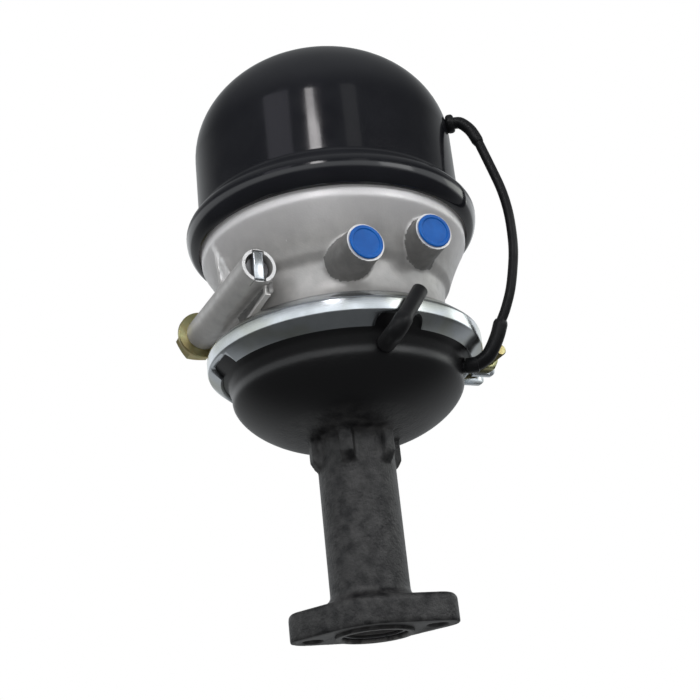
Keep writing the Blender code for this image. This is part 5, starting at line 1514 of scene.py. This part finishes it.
@dataclass
class Studio:
    """Pale floor, soft lamps, white surroundings and the camera."""

    turned: float = 10.0
    target: Vector = field(default_factory=lambda: Vector((0.0, 0.0, 0.21)))
    panels: tuple[Panel, ...] = (
        Panel(-96.0, 35.6, 1.30, 0.12, 0.08, 0.19, (1.0, 0.97, 0.98), mirrored=True),
        Panel(-95.0, 30.6, 1.30, 0.18, 0.16, 0.80, (1.0, 0.97, 0.98), mirrored=True),
        Panel(-125.0, 34.2, 1.30, 0.42, 0.26, 0.16, (0.90, 0.88, 1.0), mirrored=True),
        Panel(-63.0, 33.0, 1.30, 0.24, 0.30, 0.06, mirrored=True),
        Panel(-37.0, 21.0, 1.30, 0.55, 0.26, 0.80, mirrored=True),
        Panel(22.0, 21.0, 1.30, 0.60, 0.26, 0.45, (0.97, 1.0, 0.90), mirrored=True),
        Panel(-130.0, 45.0, 1.50, 1.00, 1.00, 17.0),
        Panel(-40.0, 30.0, 1.60, 0.90, 0.90, 9.0),
        Panel(-95.0, -22.0, 1.40, 0.70, 0.50, 7.2),
        Panel(90.0, 50.0, 1.60, 1.20, 0.80, 8.0),
    )
    ambient: float = 0.42
    sweep_side: Triple = (-0.17, 0.98, 0.05)
    sweep: tuple[float, ...] = (0.07, 0.38, 0.15, 0.90)
    sweep_dimming: tuple[float, ...] = (1.0, 0.3, 0.58, 0.80)
    overhead: float = 0.28
    band: tuple[tuple[float, float], ...] = ((0.12, 0.0), (0.24, 1.08), (0.41, 1.08), (0.49, 0.0))
    band_side: Triple = (0.40, -0.90, 0.0)
    band_reach: tuple[float, ...] = (0.45, 1.0, -0.80, 0.60)
    mirror_tint: Colour = (0.95, 0.98, 1.0)
    floor_z: float = -0.0023
    floor_grey: float = 0.32
    floor_glow: float = 0.62
    floor_size: float = 4.0
    picture: float = 700.0
    sensor: float = 36.0
    focal: float = 1268.165
    pitch: float = 0.387
    yaw: float = 0.005
    roll: float = -0.11
    camera_place: Vector = field(default_factory=lambda: Vector((0.0, -0.78038, -0.130996)))

    def lamps(self) -> None:
        """Set up the soft lamps, each turned to the chamber."""
        for index, panel in enumerate(self.panels):
            lamp = bpy.data.lights.new(f"panel_{index}", "AREA")
            lamp.shape = "RECTANGLE"
            lamp.size, lamp.size_y = panel.width, panel.height
            lamp.energy, lamp.color = panel.power, panel.colour
            item: Object = bpy.data.objects.new(lamp.name, lamp)
            item.visible_glossy = panel.mirrored
            azimuth, elevation = radians(panel.azimuth + self.turned), radians(panel.elevation)
            away = Vector((cos(azimuth) * cos(elevation), sin(azimuth) * cos(elevation),
                           sin(elevation)))
            item.matrix_world = (Matrix.Translation(self.target + away * panel.distance)
                                 @ away.to_track_quat("Z", "Y").to_matrix().to_4x4())
            bpy.context.scene.collection.objects.link(item)

    def reflections(self, tree: NodeTree) -> NodeSocket:
        """Strength of what glossy surfaces see: a sweep behind the chamber and a low band."""
        direction = add_node(tree, "TexCoord", {}).outputs["Generated"]
        height = add_node(tree, "SeparateXYZ", {0: direction}).outputs["Z"]
        behind, aside = (add_node(tree, "VectorMath", {0: direction, 1: side},
                                  operation="DOT_PRODUCT").outputs["Value"]
                         for side in (self.sweep_side, self.band_side))
        sweep = calculate(tree, "MULTIPLY",
                          spread(tree, behind, *self.sweep, interpolation_type="SMOOTHSTEP"),
                          spread(tree, height, *self.sweep_dimming))
        band = add_node(tree, "ValToRGB", {"Fac": height})
        ramp = band.color_ramp
        ramp.interpolation = "EASE"
        ramp.elements[-1].color = (*[self.overhead] * 3, 1.0)
        for place, value in self.band:
            ramp.elements.new(place).color = (value, value, value, 1.0)
        lit = calculate(tree, "MULTIPLY", band.outputs["Color"],
                        spread(tree, aside, *self.band_reach))
        return calculate(tree, "ADD", sweep, lit)

    def surroundings(self) -> None:
        """White background, with a softer white for diffuse light and one for reflections."""
        world = bpy.data.worlds.new("studio")
        world.use_nodes = True
        bpy.context.scene.world = world
        tree = world.node_tree
        tree.nodes.clear()
        ambient, mirrored, shown = (
            add_node(tree, "Background", {"Color": colour, "Strength": strength}).outputs[0]
            for colour, strength in ((WHITE, self.ambient),
                                     (self.mirror_tint, self.reflections(tree)), (WHITE, 1.0)))
        ray = add_node(tree, "LightPath", {}).outputs
        glossy = calculate(tree, "MAXIMUM", ray["Is Glossy Ray"], ray["Is Transmission Ray"])
        light = add_node(tree, "MixShader", {0: glossy, 1: ambient, 2: mirrored}).outputs[0]
        seen = add_node(tree, "MixShader", {0: ray["Is Camera Ray"], 1: light, 2: shown})
        add_node(tree, "OutputWorld", {"Surface": seen.outputs[0]})

    def floor(self) -> None:
        """Pale floor at the foot of the spigot, seen from above only."""
        bm = bmesh.new()
        bmesh.ops.create_grid(bm, x_segments=1, y_segments=1, size=self.floor_size,
                              matrix=Matrix.Translation((0.0, 0.0, self.floor_z)))
        ground = as_object("floor", bm)
        graph = Graph("pale_floor")
        graph.set("Base Color", (self.floor_grey, self.floor_grey, self.floor_grey))
        graph.set("Emission Color", WHITE)
        graph.set("Emission Strength", self.floor_glow)
        graph.set("Roughness", 0.9)
        below = graph.add("NewGeometry").outputs["Backfacing"]
        clear = graph.add("BsdfTransparent").outputs[0]
        mix = graph.add("MixShader", {0: below, 1: graph.shader.outputs[0], 2: clear})
        output = graph.tree.nodes["Material Output"]
        feed(graph.tree, output.inputs["Surface"], mix.outputs[0])
        ground.data.materials.append(graph.material)
        ground.visible_shadow = ground.visible_diffuse = ground.visible_glossy = False

    def camera(self) -> None:
        """Camera at the photograph's place: low in front, looking up."""
        ahead = Vector((sin(self.yaw) * cos(self.pitch), cos(self.yaw) * cos(self.pitch),
                        sin(self.pitch)))
        level = ahead.cross(Vector((0.0, 0.0, 1.0))).normalized()
        rise = level.cross(ahead)
        right = level * cos(self.roll) + rise * sin(self.roll)
        up = rise * cos(self.roll) - level * sin(self.roll)
        facing = Matrix((right, up, -ahead)).transposed().to_4x4()
        lens = bpy.data.cameras.new("photo_camera")
        lens.sensor_width = self.sensor
        lens.lens = self.focal / self.picture * self.sensor
        lens.clip_start = 0.01
        item: Object = bpy.data.objects.new("photo_camera", lens)
        item.matrix_world = (Matrix.Rotation(radians(self.turned), 4, "Z")
                             @ Matrix.Translation(self.camera_place) @ facing)
        bpy.context.scene.collection.objects.link(item)
        bpy.context.scene.camera = item

    def build(self) -> None:
        """Set up the camera, the lamps, the surroundings and the floor."""
        self.camera()
        self.lamps()
        self.surroundings()
        self.floor()
        bpy.context.scene.view_settings.view_transform = "Standard"


def main() -> None:
    """Build every sub-assembly in order, then the studio."""
    logging.basicConfig(level=logging.INFO, format="%(name)s: %(message)s")
    for assembly in (Dome(), FlangeCasting(), BowlCasting(), Clamp(), ReleaseStud(),
                     BreatherLine(), VentElbow(), InnerPieces(), Studio()):
        log.info("building %s", type(assembly).__name__)
        assembly.build()


if __name__ == "__main__":
    main()
